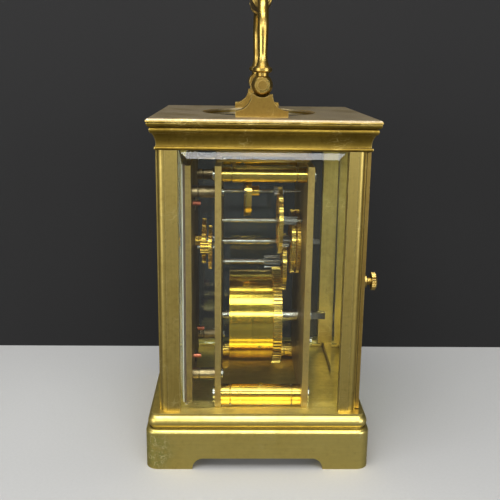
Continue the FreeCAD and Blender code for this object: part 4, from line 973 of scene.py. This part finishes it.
SPRING_STEEL = AgedMetal("spring_steel", paint(120, 118, 116), paint(72, 66, 60), paint(190, 190, 188),
                         grime_and_shade=paint(30, 27, 24), roughness=0.3, cloud_scale=120.0)
COPPER = AgedMetal("foot_copper", paint(224, 132, 104), paint(150, 82, 60), paint(245, 176, 146),
                   grime_and_shade=paint(50, 28, 18), roughness=0.3, cloud_scale=200.0)
BLUED_STEEL, ENAMEL, INK, GLASS, RUBY = BluedSteel(), DialEnamel(), FiredInk(), PlateGlass(), Ruby()


def turned_brass(name: str, centre: Vector, bright: bool = False) -> TurnedMetal:
    """Polished turned brass round one axis.

    Args:
        name: Material name.
        centre: A point on the axis.
        bright: Whether it is the barrel's brighter polish.

    Returns:
        The finish.
    """
    body = paint(246, 212, 84) if bright else paint(236, 204, 104)
    return TurnedMetal(name, body, paint(182, 142, 44), paint(255, 236, 156),
                       roughness=0.12 if bright else 0.17, cloud_share=0.25, scratch_share=0.1,
                       grain=0.000001, wear_reach=0.0003, cloud_scale=80.0, streak_share=0.0,
                       line_height=0.000002, centre=tuple(centre))


# ---- Making pieces ------------------------------------------------------------------------
def link_piece(name: str, mesh: bpy.types.Mesh) -> bpy.types.Object:
    """Put a mesh in the scene as a new piece at the origin.

    Args:
        name: Piece name.
        mesh: Its mesh.

    Returns:
        The new object.
    """
    piece = bpy.data.objects.new(name, mesh)
    bpy.context.scene.collection.objects.link(piece)
    return piece


def plain_copy(piece: bpy.types.Object) -> bpy.types.Mesh:
    """Mesh of a piece with its modifiers applied.

    Args:
        piece: The piece.

    Returns:
        A new plain mesh.
    """
    graph = bpy.context.evaluated_depsgraph_get()
    graph.update()
    return bpy.data.meshes.new_from_object(piece.evaluated_get(graph), depsgraph=graph)


@dataclass(frozen=True)
class Fitting:
    """Where a new piece belongs.

    Attributes:
        body: Body that it rides on.
        slot: Record slot named for the piece; not used.
        finish: Its finish.
    """

    body: Body
    slot: Slot
    finish: Finish

    def fit(self, piece: bpy.types.Object, *stands_for: str) -> bpy.types.Object:
        """Dress a piece, and tie it to its body.

        Args:
            piece: The piece.
            *stands_for: CAD nodes that it replaces.

        Returns:
            The same piece.
        """
        piece.data.materials.clear()
        piece.data.materials.append(self.finish.material())
        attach(piece, self.body.value)
        if stands_for:
            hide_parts(*stands_for)
        return piece


@dataclass(frozen=True)
class EdgeSoftener:
    """Copies a CAD node with small rounded edges, as a file and polish leave them.

    The copy keeps the node's own triangles, because one polygon can't go round a hole.

    Attributes:
        width: Width of the rounding, in metres.
        segments: Faces across it.
        angle: Least angle that counts as an edge, in degrees.
    """

    width: float
    segments: int = 2
    angle: float = EDGE_ANGLE

    def soften(self, node: str) -> bpy.types.Object:
        """Make the softened copy.

        Args:
            node: CAD node to copy.

        Returns:
            The new piece, at the origin.
        """
        mesh = bpy.data.objects[node].data.copy()
        mesh.name = f"{node}_finished"
        shape = bmesh.new()
        shape.from_mesh(mesh)
        bmesh.ops.remove_doubles(shape, verts=shape.verts, dist=1e-6)
        bmesh.ops.dissolve_degenerate(shape, edges=shape.edges, dist=1e-7)
        bmesh.ops.recalc_face_normals(shape, faces=shape.faces)
        shape.to_mesh(mesh)
        shape.free()
        stale = mesh.attributes.get("custom_normal")
        if stale is not None:
            mesh.attributes.remove(stale)
        for face in mesh.polygons:
            face.use_smooth = True
        mesh.set_sharp_from_angle(angle=math.radians(self.angle))
        piece = link_piece(f"{node}_finished", mesh)
        bevel = piece.modifiers.new("rounding", "BEVEL")
        bevel.width = self.width
        bevel.segments = self.segments
        bevel.limit_method = "ANGLE"
        bevel.angle_limit = math.radians(self.angle)
        bevel.use_clamp_overlap = True
        bevel.harden_normals = True
        softened = plain_copy(piece)
        piece.modifiers.remove(bevel)
        piece.data = softened
        return piece


class GeometryBench:
    """Builds a Geometry Nodes tree and applies it to a piece."""

    def __init__(self, name: str, inputs: dict[str, tuple[str, object]]) -> None:
        """Start a tree.

        Args:
            name: Tree name.
            inputs: Socket type and first value by input name.
        """
        self.tree = bpy.data.node_groups.new(name, "GeometryNodeTree")
        self.tree.interface.new_socket("Geometry", in_out="INPUT", socket_type="NodeSocketGeometry")
        for label, (kind, value) in inputs.items():
            socket = self.tree.interface.new_socket(label, in_out="INPUT", socket_type=kind)
            if kind != "NodeSocketMaterial":
                socket.default_value = value
        self.tree.interface.new_socket("Geometry", in_out="OUTPUT", socket_type="NodeSocketGeometry")
        self.given = self.tree.nodes.new("NodeGroupInput").outputs
        self.result = self.tree.nodes.new("NodeGroupOutput").inputs

    def add(self, kind: str, **settings: object) -> bpy.types.Node:
        """Add a node.

        Args:
            kind: Node type name.
            **settings: Node properties.

        Returns:
            The new node.
        """
        node = self.tree.nodes.new(kind)
        for name, value in settings.items():
            setattr(node, name, value)
        return node

    def join(self, source: bpy.types.NodeSocket, target: bpy.types.NodeSocket) -> None:
        """Link two sockets."""
        self.tree.links.new(source, target)

    def close(self, instances: bpy.types.NodeSocket) -> None:
        """End the tree with real geometry in its material.

        Args:
            instances: Geometry to end with.
        """
        real = self.add("GeometryNodeRealizeInstances")
        dress = self.add("GeometryNodeSetMaterial")
        self.join(instances, real.inputs[0])
        self.join(real.outputs[0], dress.inputs["Geometry"])
        self.join(self.given["Finish"], dress.inputs["Material"])
        self.join(dress.outputs[0], self.result[0])

    def grow(self, piece: bpy.types.Object, values: dict[str, object]) -> bpy.types.Object:
        """Apply the tree to a piece, and leave it as a plain mesh.

        Args:
            piece: Piece whose mesh is the tree's input.
            values: Input values by name.

        Returns:
            The same piece with its new mesh.
        """
        modifier = piece.modifiers.new(self.tree.name, "NODES")
        modifier.node_group = self.tree
        for item in self.tree.interface.items_tree:
            if item.in_out == "INPUT" and item.name in values:
                modifier[item.identifier] = values[item.name]
        mesh = plain_copy(piece)
        piece.modifiers.remove(modifier)
        piece.data = mesh
        return piece


@dataclass(frozen=True)
class TickRing:
    """Ring of equal marks on the dial, grown by Geometry Nodes.

    Attributes:
        count: Number of marks.
        radius: Radius of their middles, in metres.
        length: Length of a mark along the radius, in metres.
        width: Width of a mark, in metres.
        thick: Thickness of the ink, in metres.
    """

    count: int
    radius: float
    length: float
    width: float
    thick: float = 0.03 * MM

    def grow(self, name: str, centre: Vector) -> bpy.types.Object:
        """Grow the ring, facing -Y.

        Args:
            name: Piece name.
            centre: Middle of the ring.

        Returns:
            The new piece.
        """
        bench = GeometryBench(name, {
            "Count": ("NodeSocketInt", 60), "Radius": ("NodeSocketFloat", 0.01),
            "Mark Size": ("NodeSocketVector", (1.0, 1.0, 1.0)), "Centre": ("NodeSocketVector", (0, 0, 0)),
            "Finish": ("NodeSocketMaterial", None)})
        circle = bench.add("GeometryNodeMeshCircle")
        bench.join(bench.given["Count"], circle.inputs["Vertices"])
        bench.join(bench.given["Radius"], circle.inputs["Radius"])
        mark = bench.add("GeometryNodeMeshCube")
        bench.join(bench.given["Mark Size"], mark.inputs["Size"])
        aim = bench.add("FunctionNodeAlignRotationToVector", axis="Y", pivot_axis="Z")
        bench.join(bench.add("GeometryNodeInputPosition").outputs[0], aim.inputs["Vector"])
        copies = bench.add("GeometryNodeInstanceOnPoints")
        bench.join(circle.outputs["Mesh"], copies.inputs["Points"])
        bench.join(mark.outputs["Mesh"], copies.inputs["Instance"])
        bench.join(aim.outputs[0], copies.inputs["Rotation"])
        stand = bench.add("GeometryNodeTransform")
        stand.inputs["Rotation"].default_value = (math.radians(90), 0.0, 0.0)
        bench.join(copies.outputs[0], stand.inputs["Geometry"])
        bench.join(bench.given["Centre"], stand.inputs["Translation"])
        bench.close(stand.outputs[0])
        return bench.grow(link_piece(name, bpy.data.meshes.new(name)), {
            "Count": self.count, "Radius": self.radius,
            "Mark Size": (self.width, self.length, self.thick),
            "Centre": tuple(centre), "Finish": INK.material()})


@dataclass(frozen=True)
class StudSet:
    """Equal round studs standing at given places, grown by Geometry Nodes.

    Attributes:
        radius: Radius of a stud at its foot, in metres.
        tip: Radius at its top, in metres.
        length: Length along Z, in metres.
        sides: Number of sides.
    """

    radius: float
    tip: float
    length: float
    sides: int = 20

    def grow(self, name: str, places: Iterable[Vector], finish: Finish) -> bpy.types.Object:
        """Grow a stud at each place.

        Args:
            name: Piece name.
            places: Middles of the studs.
            finish: Their finish.

        Returns:
            The new piece.
        """
        bench = GeometryBench(name, {
            "Radius": ("NodeSocketFloat", 0.001), "Tip": ("NodeSocketFloat", 0.001),
            "Length": ("NodeSocketFloat", 0.001), "Sides": ("NodeSocketInt", 16),
            "Finish": ("NodeSocketMaterial", None)})
        stud = bench.add("GeometryNodeMeshCone")
        bench.join(bench.given["Sides"], stud.inputs["Vertices"])
        bench.join(bench.given["Radius"], stud.inputs["Radius Bottom"])
        bench.join(bench.given["Tip"], stud.inputs["Radius Top"])
        bench.join(bench.given["Length"], stud.inputs["Depth"])
        centred = bench.add("GeometryNodeTransform")
        drop = bench.add("ShaderNodeMath", operation="MULTIPLY")
        drop.inputs[1].default_value = -0.5
        bench.join(bench.given["Length"], drop.inputs[0])
        shift = bench.add("ShaderNodeCombineXYZ")
        bench.join(drop.outputs[0], shift.inputs["Z"])
        bench.join(stud.outputs["Mesh"], centred.inputs["Geometry"])
        bench.join(shift.outputs[0], centred.inputs["Translation"])
        copies = bench.add("GeometryNodeInstanceOnPoints")
        bench.join(bench.given["Geometry"], copies.inputs["Points"])
        bench.join(centred.outputs[0], copies.inputs["Instance"])
        bench.close(copies.outputs[0])
        mesh = bpy.data.meshes.new(name)
        mesh.from_pydata([tuple(place) for place in places], [], [])
        piece = bench.grow(link_piece(name, mesh), {
            "Radius": self.radius, "Tip": self.tip, "Length": self.length, "Sides": self.sides,
            "Finish": finish.material()})
        piece.data.set_sharp_from_angle(angle=math.radians(EDGE_ANGLE))
        return piece


@dataclass
class SubAssembly(ABC):
    """Part of the clock that builds its own pieces and dresses its CAD nodes.

    Attributes:
        made: Names of the pieces made so far.
    """

    made: list[str] = field(default_factory=list, init=False)

    def soften(self, node: str, width: float, fitting: Fitting) -> bpy.types.Object:
        """Replace a CAD node with its softened copy.

        Args:
            node: CAD node.
            width: Width of the rounding, in millimetres.
            fitting: Where it belongs.

        Returns:
            The new piece.
        """
        piece = fitting.fit(EdgeSoftener(width * MM).soften(node), node)
        self.made.append(piece.name)
        return piece

    def dress_nodes(self, finish: Finish, *nodes: str) -> None:
        """Give CAD nodes a finish.

        Args:
            finish: The finish.
            *nodes: CAD nodes.
        """
        for node in nodes:
            keep = bpy.data.objects[node]
            for slot in keep.material_slots:
                slot.material = finish.material()
            self.made.append(node)

    @abstractmethod
    def build(self) -> None:
        """Make the sub-assembly's own pieces."""

    @abstractmethod
    def dress(self) -> None:
        """Finish its carried-over CAD nodes."""


@dataclass
class Case(SubAssembly):
    """Base, four pillars, cornice, handle brackets and fixed glass.

    Attributes:
        base_round: Rounding of the base's edges, in millimetres.
        pillar_round: Rounding of the pillars, in millimetres.
        cornice_round: Rounding of the cornice, in millimetres.
        bracket_round: Rounding of the brackets, in millimetres.
    """

    base_round: float = 0.35
    pillar_round: float = 0.22
    cornice_round: float = 0.22
    bracket_round: float = 0.3

    def build(self) -> None:
        """Soften the castings and mouldings."""
        case = Body.CASE
        self.soften("base_moulding", self.base_round, Fitting(case, Slot.CASE_BRASS, BASE_BRASS))
        self.soften("cornice", self.cornice_round, Fitting(case, Slot.CASE_BRASS, CORNICE_BRASS))
        for end in ("front", "back"):
            for side in ("left", "right"):
                self.soften(f"pillar_{end}_{side}", self.pillar_round,
                            Fitting(case, Slot.CASE_BRASS, CASE_BRASS))
        for side in ("left", "right"):
            self.soften(f"bracket_{side}", self.bracket_round,
                        Fitting(case, Slot.CASE_BRASS, BRACKET_BRASS))

    def dress(self) -> None:
        """Finish the panes and the screws."""
        self.dress_nodes(GLASS, "top_glass", "front_glass", "left_glass", "right_glass")
        self.dress_nodes(STEEL, "case_screws")


@dataclass
class Handle(SubAssembly):
    """Folding handle: turned arms with balls and collars, and the grip across them.

    Attributes:
        arm_round: Rounding of the arms' edges, in millimetres.
        grip_round: Rounding of the grip's edges, in millimetres.
    """

    arm_round: float = 0.2
    grip_round: float = 0.3

    def build(self) -> None:
        """Soften the turned pieces."""
        fitting = Fitting(Body.HANDLE, Slot.CASE_BRASS, HANDLE_BRASS)
        self.soften("handle_arms", self.arm_round, fitting)
        self.soften("handle_grip", self.grip_round, fitting)

    def dress(self) -> None:
        """Nothing is carried over."""


@dataclass
class BackDoor(SubAssembly):
    """Glazed back door and its knurled latch knob.

    Attributes:
        frame_round: Rounding of the frame, in millimetres.
        knob_round: Rounding of the knob's ridges, in millimetres.
    """

    frame_round: float = 0.25
    knob_round: float = 0.1

    def build(self) -> None:
        """Soften the frame and the knob."""
        self.soften("door_frame", self.frame_round, Fitting(Body.DOOR, Slot.CASE_BRASS, DOOR_BRASS))
        self.soften("door_knob", self.knob_round, Fitting(Body.KNOB, Slot.POLISHED_BRASS, HANDLE_BRASS))

    def dress(self) -> None:
        """Finish the door's pane."""
        self.dress_nodes(GLASS, "door_glass")


@dataclass
class MovementFrame(SubAssembly):
    """Plates, turned pillars, screws and the winding work on the back plate.

    Attributes:
        plate_round: Rounding of the plates, in millimetres.
        pillar_round: Rounding of the turned pillars, in millimetres.
    """

    plate_round: float = 0.14
    pillar_round: float = 0.1

    def build(self) -> None:
        """Soften plates and pillars."""
        grained = Fitting(Body.CASE, Slot.PLATE_BRASS, PLATE_BRASS)
        self.soften("front_plate", self.plate_round, grained)
        self.soften("back_plate", self.plate_round, grained)
        low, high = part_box("movement_pillars")
        axis = (low + high) / 2
        self.soften("movement_pillars", self.pillar_round,
                    Fitting(Body.CASE, Slot.POLISHED_BRASS, turned_brass("pillar_brass_turned", axis)))

    def dress(self) -> None:
        """Finish the screws and the small steel."""
        self.dress_nodes(SPRING_STEEL, "click_spring")
        self.dress_nodes(STEEL, "movement_screws", "ratchet_wheel", "click", "winding_arbor")


@dataclass
class NumeralPrinter:
    """Draws Roman numerals in ink strokes that stand on the dial's face.

    Attributes:
        height: Height of a numeral, in metres.
        thick: Width of a main stroke, in metres.
        thin: Width of a hairline, in metres.
        ink: Thickness of the ink, in metres.
    """

    height: float = 6.2 * MM
    thick: float = 0.85 * MM
    thin: float = 0.22 * MM
    ink: float = 0.03 * MM
    shape: bmesh.types.BMesh = field(default_factory=bmesh.new, init=False)

    def stroke(self, corners: Sequence[tuple[float, float]], place: Callable[[float, float], Vector]) -> None:
        """Ink one four-cornered stroke.

        Args:
            corners: Its corners in the numeral's own plane.
            place: Turns a point of that plane into a place on the dial.
        """
        back = [self.shape.verts.new(place(u, v)) for u, v in corners]
        front = [self.shape.verts.new(place(u, v) - Vector((0, self.ink, 0))) for u, v in corners]
        self.shape.faces.new(back)
        self.shape.faces.new(list(reversed(front)))
        for number in range(4):
            after = (number + 1) % 4
            self.shape.faces.new([back[after], back[number], front[number], front[after]])

    def letter(self, kind: str, left: float, place: Callable[[float, float], Vector]) -> float:
        """Ink one letter with its serifs.

        Args:
            kind: I, V or X.
            left: Where the letter starts.
            place: Turns a point of its plane into a place on the dial.

        Returns:
            The letter's width.
        """
        top, half_thin = self.height / 2, self.thin / 2
        inner = top - self.thin
        width = LETTER_WIDTHS[kind] * self.thick
        right = left + width
        if kind == "I":
            middle = left + width / 2
            self.stroke([(middle - self.thick / 2, -inner), (middle + self.thick / 2, -inner),
                         (middle + self.thick / 2, inner), (middle - self.thick / 2, inner)], place)
        else:
            start, end = left + 0.15 * self.thick, right - 0.15 * self.thick
            foot = (start + end) / 2 if kind == "V" else end - self.thick / 2
            lean = foot - self.thick / 2
            self.stroke([(lean, -inner), (lean + self.thick, -inner), (start + self.thick, inner),
                         (start, inner)], place)
            hair = (start + end) / 2 + self.thick / 4 if kind == "V" else start + half_thin
            self.stroke([(hair - half_thin, -inner), (hair + half_thin, -inner), (end, inner),
                         (end - self.thin, inner)], place)
        for level in (-top, inner):
            if kind == "V" and level < 0:
                continue
            self.stroke([(left, level), (right, level), (right, level + self.thin),
                         (left, level + self.thin)], place)
        return width

    def numeral(self, text: str, centre: Vector, radius: float, hour: int) -> None:
        """Ink a numeral on the hour ring, with its foot towards the middle.

        Args:
            text: The numeral.
            centre: Middle of the dial's face.
            radius: Radius of the ring of numerals.
            hour: Hour that it marks.
        """
        turn = math.radians(30 * hour)
        out = Vector((math.sin(turn), 0, math.cos(turn)))
        across = Vector((math.cos(turn), 0, -math.sin(turn)))

        def place(u: float, v: float) -> Vector:
            """Place on the dial of a point of the numeral's plane."""
            return centre + out * (radius + v) + across * u

        gap = 0.25 * self.thick
        total = sum(LETTER_WIDTHS[letter] * self.thick for letter in text) + gap * (len(text) - 1)
        left = -total / 2
        for letter in text:
            left += self.letter(letter, left, place) + gap

    def finish(self, name: str) -> bpy.types.Object:
        """Turn the strokes into a piece.

        Args:
            name: Piece name.

        Returns:
            The new piece.
        """
        bmesh.ops.recalc_face_normals(self.shape, faces=self.shape.faces)
        mesh = bpy.data.meshes.new(name)
        self.shape.to_mesh(mesh)
        self.shape.free()
        return link_piece(name, mesh)


@dataclass
class Dial(SubAssembly):
    """Enamel dial with its printing, plate, posts, copper feet and taper pins.

    Attributes:
        numeral_radius: Radius of the ring of numerals, in metres.
        track_radius: Radius of the minute track's middle, in metres.
        track_half: Half the width of the minute track, in metres.
        mark: Length of a minute mark, in metres.
        line: Width of the track's two circles, in metres.
        pin_length: Length of a taper pin, in metres.
        foot_radius: Radius of a copper foot, in metres.
        hours: The numerals, from twelve.
    """

    numeral_radius: float = 21.0 * MM
    track_radius: float = 27.0 * MM
    track_half: float = 0.75 * MM
    mark: float = 1.5 * MM
    line: float = 0.14 * MM
    pin_length: float = 5.6 * MM
    foot_radius: float = 0.95 * MM
    hours: tuple[str, ...] = ("XII", "I", "II", "III", "IIII", "V", "VI", "VII", "VIII", "IX", "X", "XI")

    def face_centre(self) -> Vector:
        """Middle of the hands' axis on the dial's front face."""
        low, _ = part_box("dial")
        hub_low, hub_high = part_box("centre_arbor")
        return Vector(((hub_low.x + hub_high.x) / 2, low.y, (hub_low.z + hub_high.z) / 2))

    def build(self) -> None:
        """Print the dial and pin its feet."""
        centre = self.face_centre()
        printed = Fitting(Body.CASE, Slot.ENAMEL, INK)
        printer = NumeralPrinter()
        for hour, text in enumerate(self.hours):
            printer.numeral(text, centre, self.numeral_radius, hour)
        self.made.append(printed.fit(printer.finish("dial_numerals")).name)
        half_ink = Vector((0, printer.ink / 2, 0))
        inner, outer = self.track_radius - self.track_half, self.track_radius + self.track_half
        rings = {"dial_minute_marks": TickRing(60, self.track_radius, self.mark, 0.16 * MM),
                 "dial_hour_marks": TickRing(12, self.track_radius, self.mark, 0.55 * MM),
                 "dial_track_inner": TickRing(240, inner, self.line, 0.72 * MM),
                 "dial_track_outer": TickRing(240, outer, self.line, 0.76 * MM)}
        for name, ring in rings.items():
            self.made.append(printed.fit(ring.grow(name, centre - half_ink)).name)
        self.pin_feet()

    def pin_feet(self) -> None:
        """Drive a steel taper pin through each copper foot, behind the dial plate."""
        low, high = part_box("dial_feet")
        level, inset = high.y - 2.4 * MM, self.foot_radius
        places = [Vector((x, level, z)) for x in (low.x + inset, high.x - inset)
                  for z in (low.z + inset, high.z - inset)]
        pins = StudSet(0.33 * MM, 0.24 * MM, self.pin_length).grow("dial_foot_pins", places, STEEL)
        self.made.append(Fitting(Body.CASE, Slot.STEEL, STEEL).fit(pins).name)

    def dress(self) -> None:
        """Finish enamel, plate, posts and feet."""
        self.dress_nodes(ENAMEL, "dial")
        self.dress_nodes(PLATE_BRASS, "dial_plate")
        self.dress_nodes(COPPER, "dial_feet")
        self.dress_nodes(POST_BRASS, "dial_posts")


@dataclass
class MotionWork(SubAssembly):
    """Hands and the wheels under the dial."""

    def build(self) -> None:
        """The CAD shapes serve as they are."""

    def dress(self) -> None:
        """Finish hands, wheels and arbor."""
        self.dress_nodes(BLUED_STEEL, "minute_hand", "hour_hand")
        self.dress_nodes(STEEL, "centre_arbor", "cannon_pinion")
        self.dress_nodes(GEAR_BRASS, "setting_wheel", "minute_wheel", "hour_wheel")


@dataclass
class GoingTrain(SubAssembly):
    """Barrel and the wheels that carry its power up to the platform.

    Attributes:
        drum_round: Rounding of the drum's edges, in millimetres.
    """

    drum_round: float = 0.16

    def build(self) -> None:
        """Soften the drum and its cap."""
        low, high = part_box("barrel_drum")
        bright = turned_brass("barrel_brass_polished", (low + high) / 2, bright=True)
        for node in ("barrel_drum", "barrel_cap"):
            self.soften(node, self.drum_round, Fitting(Body.BARREL, Slot.POLISHED_BRASS, bright))

    def dress(self) -> None:
        """Finish each wheel with lathe lines round its own arbor."""
        for node in ("great_wheel", "intermediate_wheel", "centre_wheel", "third_wheel", "contrate_wheel"):
            low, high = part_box(node)
            self.dress_nodes(turned_brass(f"{node}_brass", (low + high) / 2), node)
        self.dress_nodes(STEEL, "intermediate_arbor", "centre_pinion", "third_arbor", "contrate_arbor")
        self.dress_nodes(SPRING_STEEL, "mainspring")


@dataclass
class Platform(SubAssembly):
    """Platform lever escapement with its cocks and jewels.

    Attributes:
        cock_round: Rounding of the platform and its cocks, in millimetres.
        jewel_radius: Radius of a jewel, in metres.
        jewel_rise: How far a jewel's dome stands over its cock, in metres.
        lever_y: Place of the lever's pivot along Y, in metres.
    """

    cock_round: float = 0.12
    jewel_radius: float = 0.85 * MM
    jewel_rise: float = 0.12 * MM
    lever_y: float = -2.0 * MM

    def build(self) -> None:
        """Soften platform and cocks, and set the jewels."""
        grained = Fitting(Body.CASE, Slot.PLATE_BRASS, PLATE_BRASS)
        for node in ("platform_plate", "platform_cocks", "balance_cock"):
            self.soften(node, self.cock_round, grained)
        _, cocks_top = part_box("platform_cocks")
        places = []
        for node in ("escape_arbor", "lever"):
            low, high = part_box(node)
            middle = (low + high) / 2
            y = self.lever_y if node == "lever" else middle.y
            places.append(Vector((middle.x, y, cocks_top.z + self.jewel_rise / 2)))
        jewels = StudSet(self.jewel_radius, self.jewel_radius * 0.7, self.jewel_rise).grow(
            "platform_jewels", places, RUBY)
        self.made.append(Fitting(Body.CASE, Slot.GLASS, RUBY).fit(jewels).name)

    def dress(self) -> None:
        """Finish the escapement's small pieces."""
        self.dress_nodes(BLUED_STEEL, "platform_screws", "hairspring")
        self.dress_nodes(STEEL, "regulator", "escape_arbor", "lever")
        self.dress_nodes(GEAR_BRASS, "escape_wheel", "balance")


# ---- Studio -------------------------------------------------------------------------------
@dataclass(frozen=True)
class StudioPaper(Finish):
    """Plain paper of the floor or of the card behind, with a faint tooth; its reflections in shiny pieces are
    painted darker.

    Attributes:
        name: Material name.
        tone: Its colour.
        one_sided: Whether it can be seen through from behind.
        mirrored: Share of its colour that shows in shiny pieces; the rest is painted shade on its
            reflections.
    """

    name: str
    tone: Colour
    one_sided: bool = False
    mirrored: float = 1.0

    def surface(self, bench: ShaderBench) -> bpy.types.NodeSocket:
        """Matt paper, whose reflections in shiny pieces are painted darker.

        Args:
            bench: Adds nodes to the material.

        Returns:
            The shader's output socket.
        """
        tooth = bench.noise(bench.place(), 900.0, 2.0)
        darker = tuple(value * 0.92 for value in self.tone)
        # Painted shade on reflections: glossy rays see the paper darkened to its mirrored share.
        painted_dark_reflection = bench.blend(1.0 - self.mirrored, self.tone, (0.0, 0.0, 0.0))
        shiny = bench.add("ShaderNodeLightPath").outputs["Is Glossy Ray"]
        paper = bench.blend(tooth, self.tone, darker)
        shader = bench.principled(bench.blend(shiny, paper, painted_dark_reflection), 0.9)
        if not self.one_sided:
            return shader.outputs[0]
        mix = bench.add("ShaderNodeMixShader")
        bench.feed(mix.inputs[0], bench.add("ShaderNodeNewGeometry").outputs["Backfacing"])
        bench.feed(mix.inputs[1], shader.outputs[0])
        bench.feed(mix.inputs[2], bench.add("ShaderNodeBsdfTransparent").outputs[0])
        return mix.outputs[0]


@dataclass(frozen=True)
class SoftLight:
    """Rectangular soft light aimed at the clock.

    Attributes:
        name: Light name.
        place: Where it hangs, in metres.
        size: Width and height, in metres.
        power: Watts.
        tone: Light colour.
    """

    name: str
    place: tuple[float, float, float]
    size: tuple[float, float]
    power: float
    tone: Colour = (1.0, 1.0, 1.0)

    def hang(self, aim: Vector) -> None:
        """Hang the light.

        Args:
            aim: What it points at.
        """
        lamp = bpy.data.lights.new(self.name, "AREA")
        lamp.shape = "RECTANGLE"
        lamp.size, lamp.size_y = self.size
        lamp.energy = self.power
        lamp.color = self.tone
        holder = bpy.data.objects.new(self.name, lamp)
        holder.location = self.place
        holder.rotation_euler = (aim - Vector(self.place)).to_track_quat("-Z", "Y").to_euler()
        bpy.context.scene.collection.objects.link(holder)


@dataclass
class Studio:
    """Floor, card behind, lights and camera.

    Attributes:
        card_x: Where the card stands, in metres.
        card_half: Half its width, in metres.
        card_height: Its height, in metres.
        eye: Camera place, in metres.
        yaw: Turn of the view from -X towards +Y, in degrees.
        pitch: Tilt below level, in degrees.
        roll: Turn about the line of sight, in degrees.
        lens: Focal length on a 36 mm sensor, in millimetres.
        floor_reach: Half the floor's width, in metres.
        floor: The floor's paper.
        card: The card's paper.
        aim: What the lights point at, in metres.
        air: Colour of the air's light.
        air_strength: Strength of the air's light.
        lights: The lights.
    """

    card_x: float = -0.088
    card_half: float = 0.7
    card_height: float = 0.75
    eye: tuple[float, float, float] = (0.3159, -0.0104, 0.1588)
    yaw: float = 1.341
    pitch: float = 14.025
    roll: float = 0.716
    lens: float = 53.16
    floor_reach: float = 3.0
    # The floor's reflections in the brass are painted at a quarter of its brightness.
    floor: StudioPaper = StudioPaper("floor_paper", paint(176, 176, 175), mirrored=0.25)
    card: StudioPaper = StudioPaper("card_paper", paint(24, 24, 25), one_sided=True)
    aim: tuple[float, float, float] = (0.0, 0.0, 0.08)
    air: Colour = (0.5, 0.49, 0.47)
    air_strength: float = 0.14
    lights: tuple[SoftLight, ...] = (
        SoftLight("overhead", (0.1, -0.1, 0.8), (0.5, 0.8), 6.5),
        SoftLight("window", (0.55, 0.0, 0.75), (0.8, 0.22), 4.0, (1.0, 0.99, 0.97)),
        SoftLight("bevel_strip", (0.9, 0.03, 0.385), (0.7, 0.12), 2.4),
        SoftLight("left_fill", (0.7, -0.8, 0.2), (0.6, 0.5), 4.4),
        SoftLight("right_fill", (0.8, 0.75, 0.2), (0.6, 0.5), 3.6),
    )

    def sheet(self, name: str, corners: Sequence[tuple[float, float, float]], finish: Finish) -> None:
        """Stand one flat sheet in the studio.

        Args:
            name: Sheet name.
            corners: Its corners.
            finish: Its finish.
        """
        mesh = bpy.data.meshes.new(name)
        mesh.from_pydata(list(corners), [], [(0, 1, 2, 3)])
        mesh.materials.append(finish.material())
        link_piece(name, mesh)

    def build(self) -> None:
        """Lay the floor, stand the card and hang the lights."""
        reach = self.floor_reach
        self.sheet("studio_floor", [(-reach, -reach, 0), (reach, -reach, 0), (reach, reach, 0),
                                    (-reach, reach, 0)], self.floor)
        x, half, top = self.card_x, self.card_half, self.card_height
        self.sheet("studio_card", [(x, -half, 0), (x, half, 0), (x, half, top), (x, -half, top)], self.card)
        for light in self.lights:
            light.hang(Vector(self.aim))
        world = bpy.data.worlds.new("studio_air")
        world.use_nodes = True
        background = world.node_tree.nodes["Background"]
        background.inputs["Color"].default_value = (*self.air, 1.0)
        background.inputs["Strength"].default_value = self.air_strength
        bpy.context.scene.world = world
        bpy.context.scene.view_settings.view_transform = "Standard"

    def place_camera(self) -> None:
        """Stand the camera at the right side of the clock."""
        yaw, pitch, roll = (math.radians(angle) for angle in (self.yaw, self.pitch, self.roll))
        ahead = Vector((-math.cos(pitch) * math.cos(yaw), math.cos(pitch) * math.sin(yaw), -math.sin(pitch)))
        level = Vector((math.sin(yaw), math.cos(yaw), 0))
        above = level.cross(ahead)
        right = level * math.cos(roll) + above * math.sin(roll)
        up = above * math.cos(roll) - level * math.sin(roll)
        lens = bpy.data.cameras.new("camera")
        lens.sensor_width = 36.0
        lens.lens = self.lens
        lens.dof.use_dof = False
        camera = bpy.data.objects.new("camera", lens)
        turn = Matrix((right, up, -ahead)).transposed().to_4x4()
        camera.matrix_world = Matrix.Translation(self.eye) @ turn
        bpy.context.scene.collection.objects.link(camera)
        bpy.context.scene.camera = camera


def main() -> None:
    """Build and dress every part of the clock, then the studio."""
    logging.basicConfig(level=logging.INFO, format="%(name)s: %(message)s")
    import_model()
    for part in (Case(), Handle(), BackDoor(), MovementFrame(), Dial(), MotionWork(), GoingTrain(),
                 Platform()):
        part.build()
        part.dress()
        for name in part.made:
            piece = bpy.data.objects[name]
            LOG.info("%s: %s, %d faces", type(part).__name__, name, len(piece.data.polygons))
    studio = Studio()
    studio.build()
    studio.place_camera()


if __name__ == "__main__":
    main()
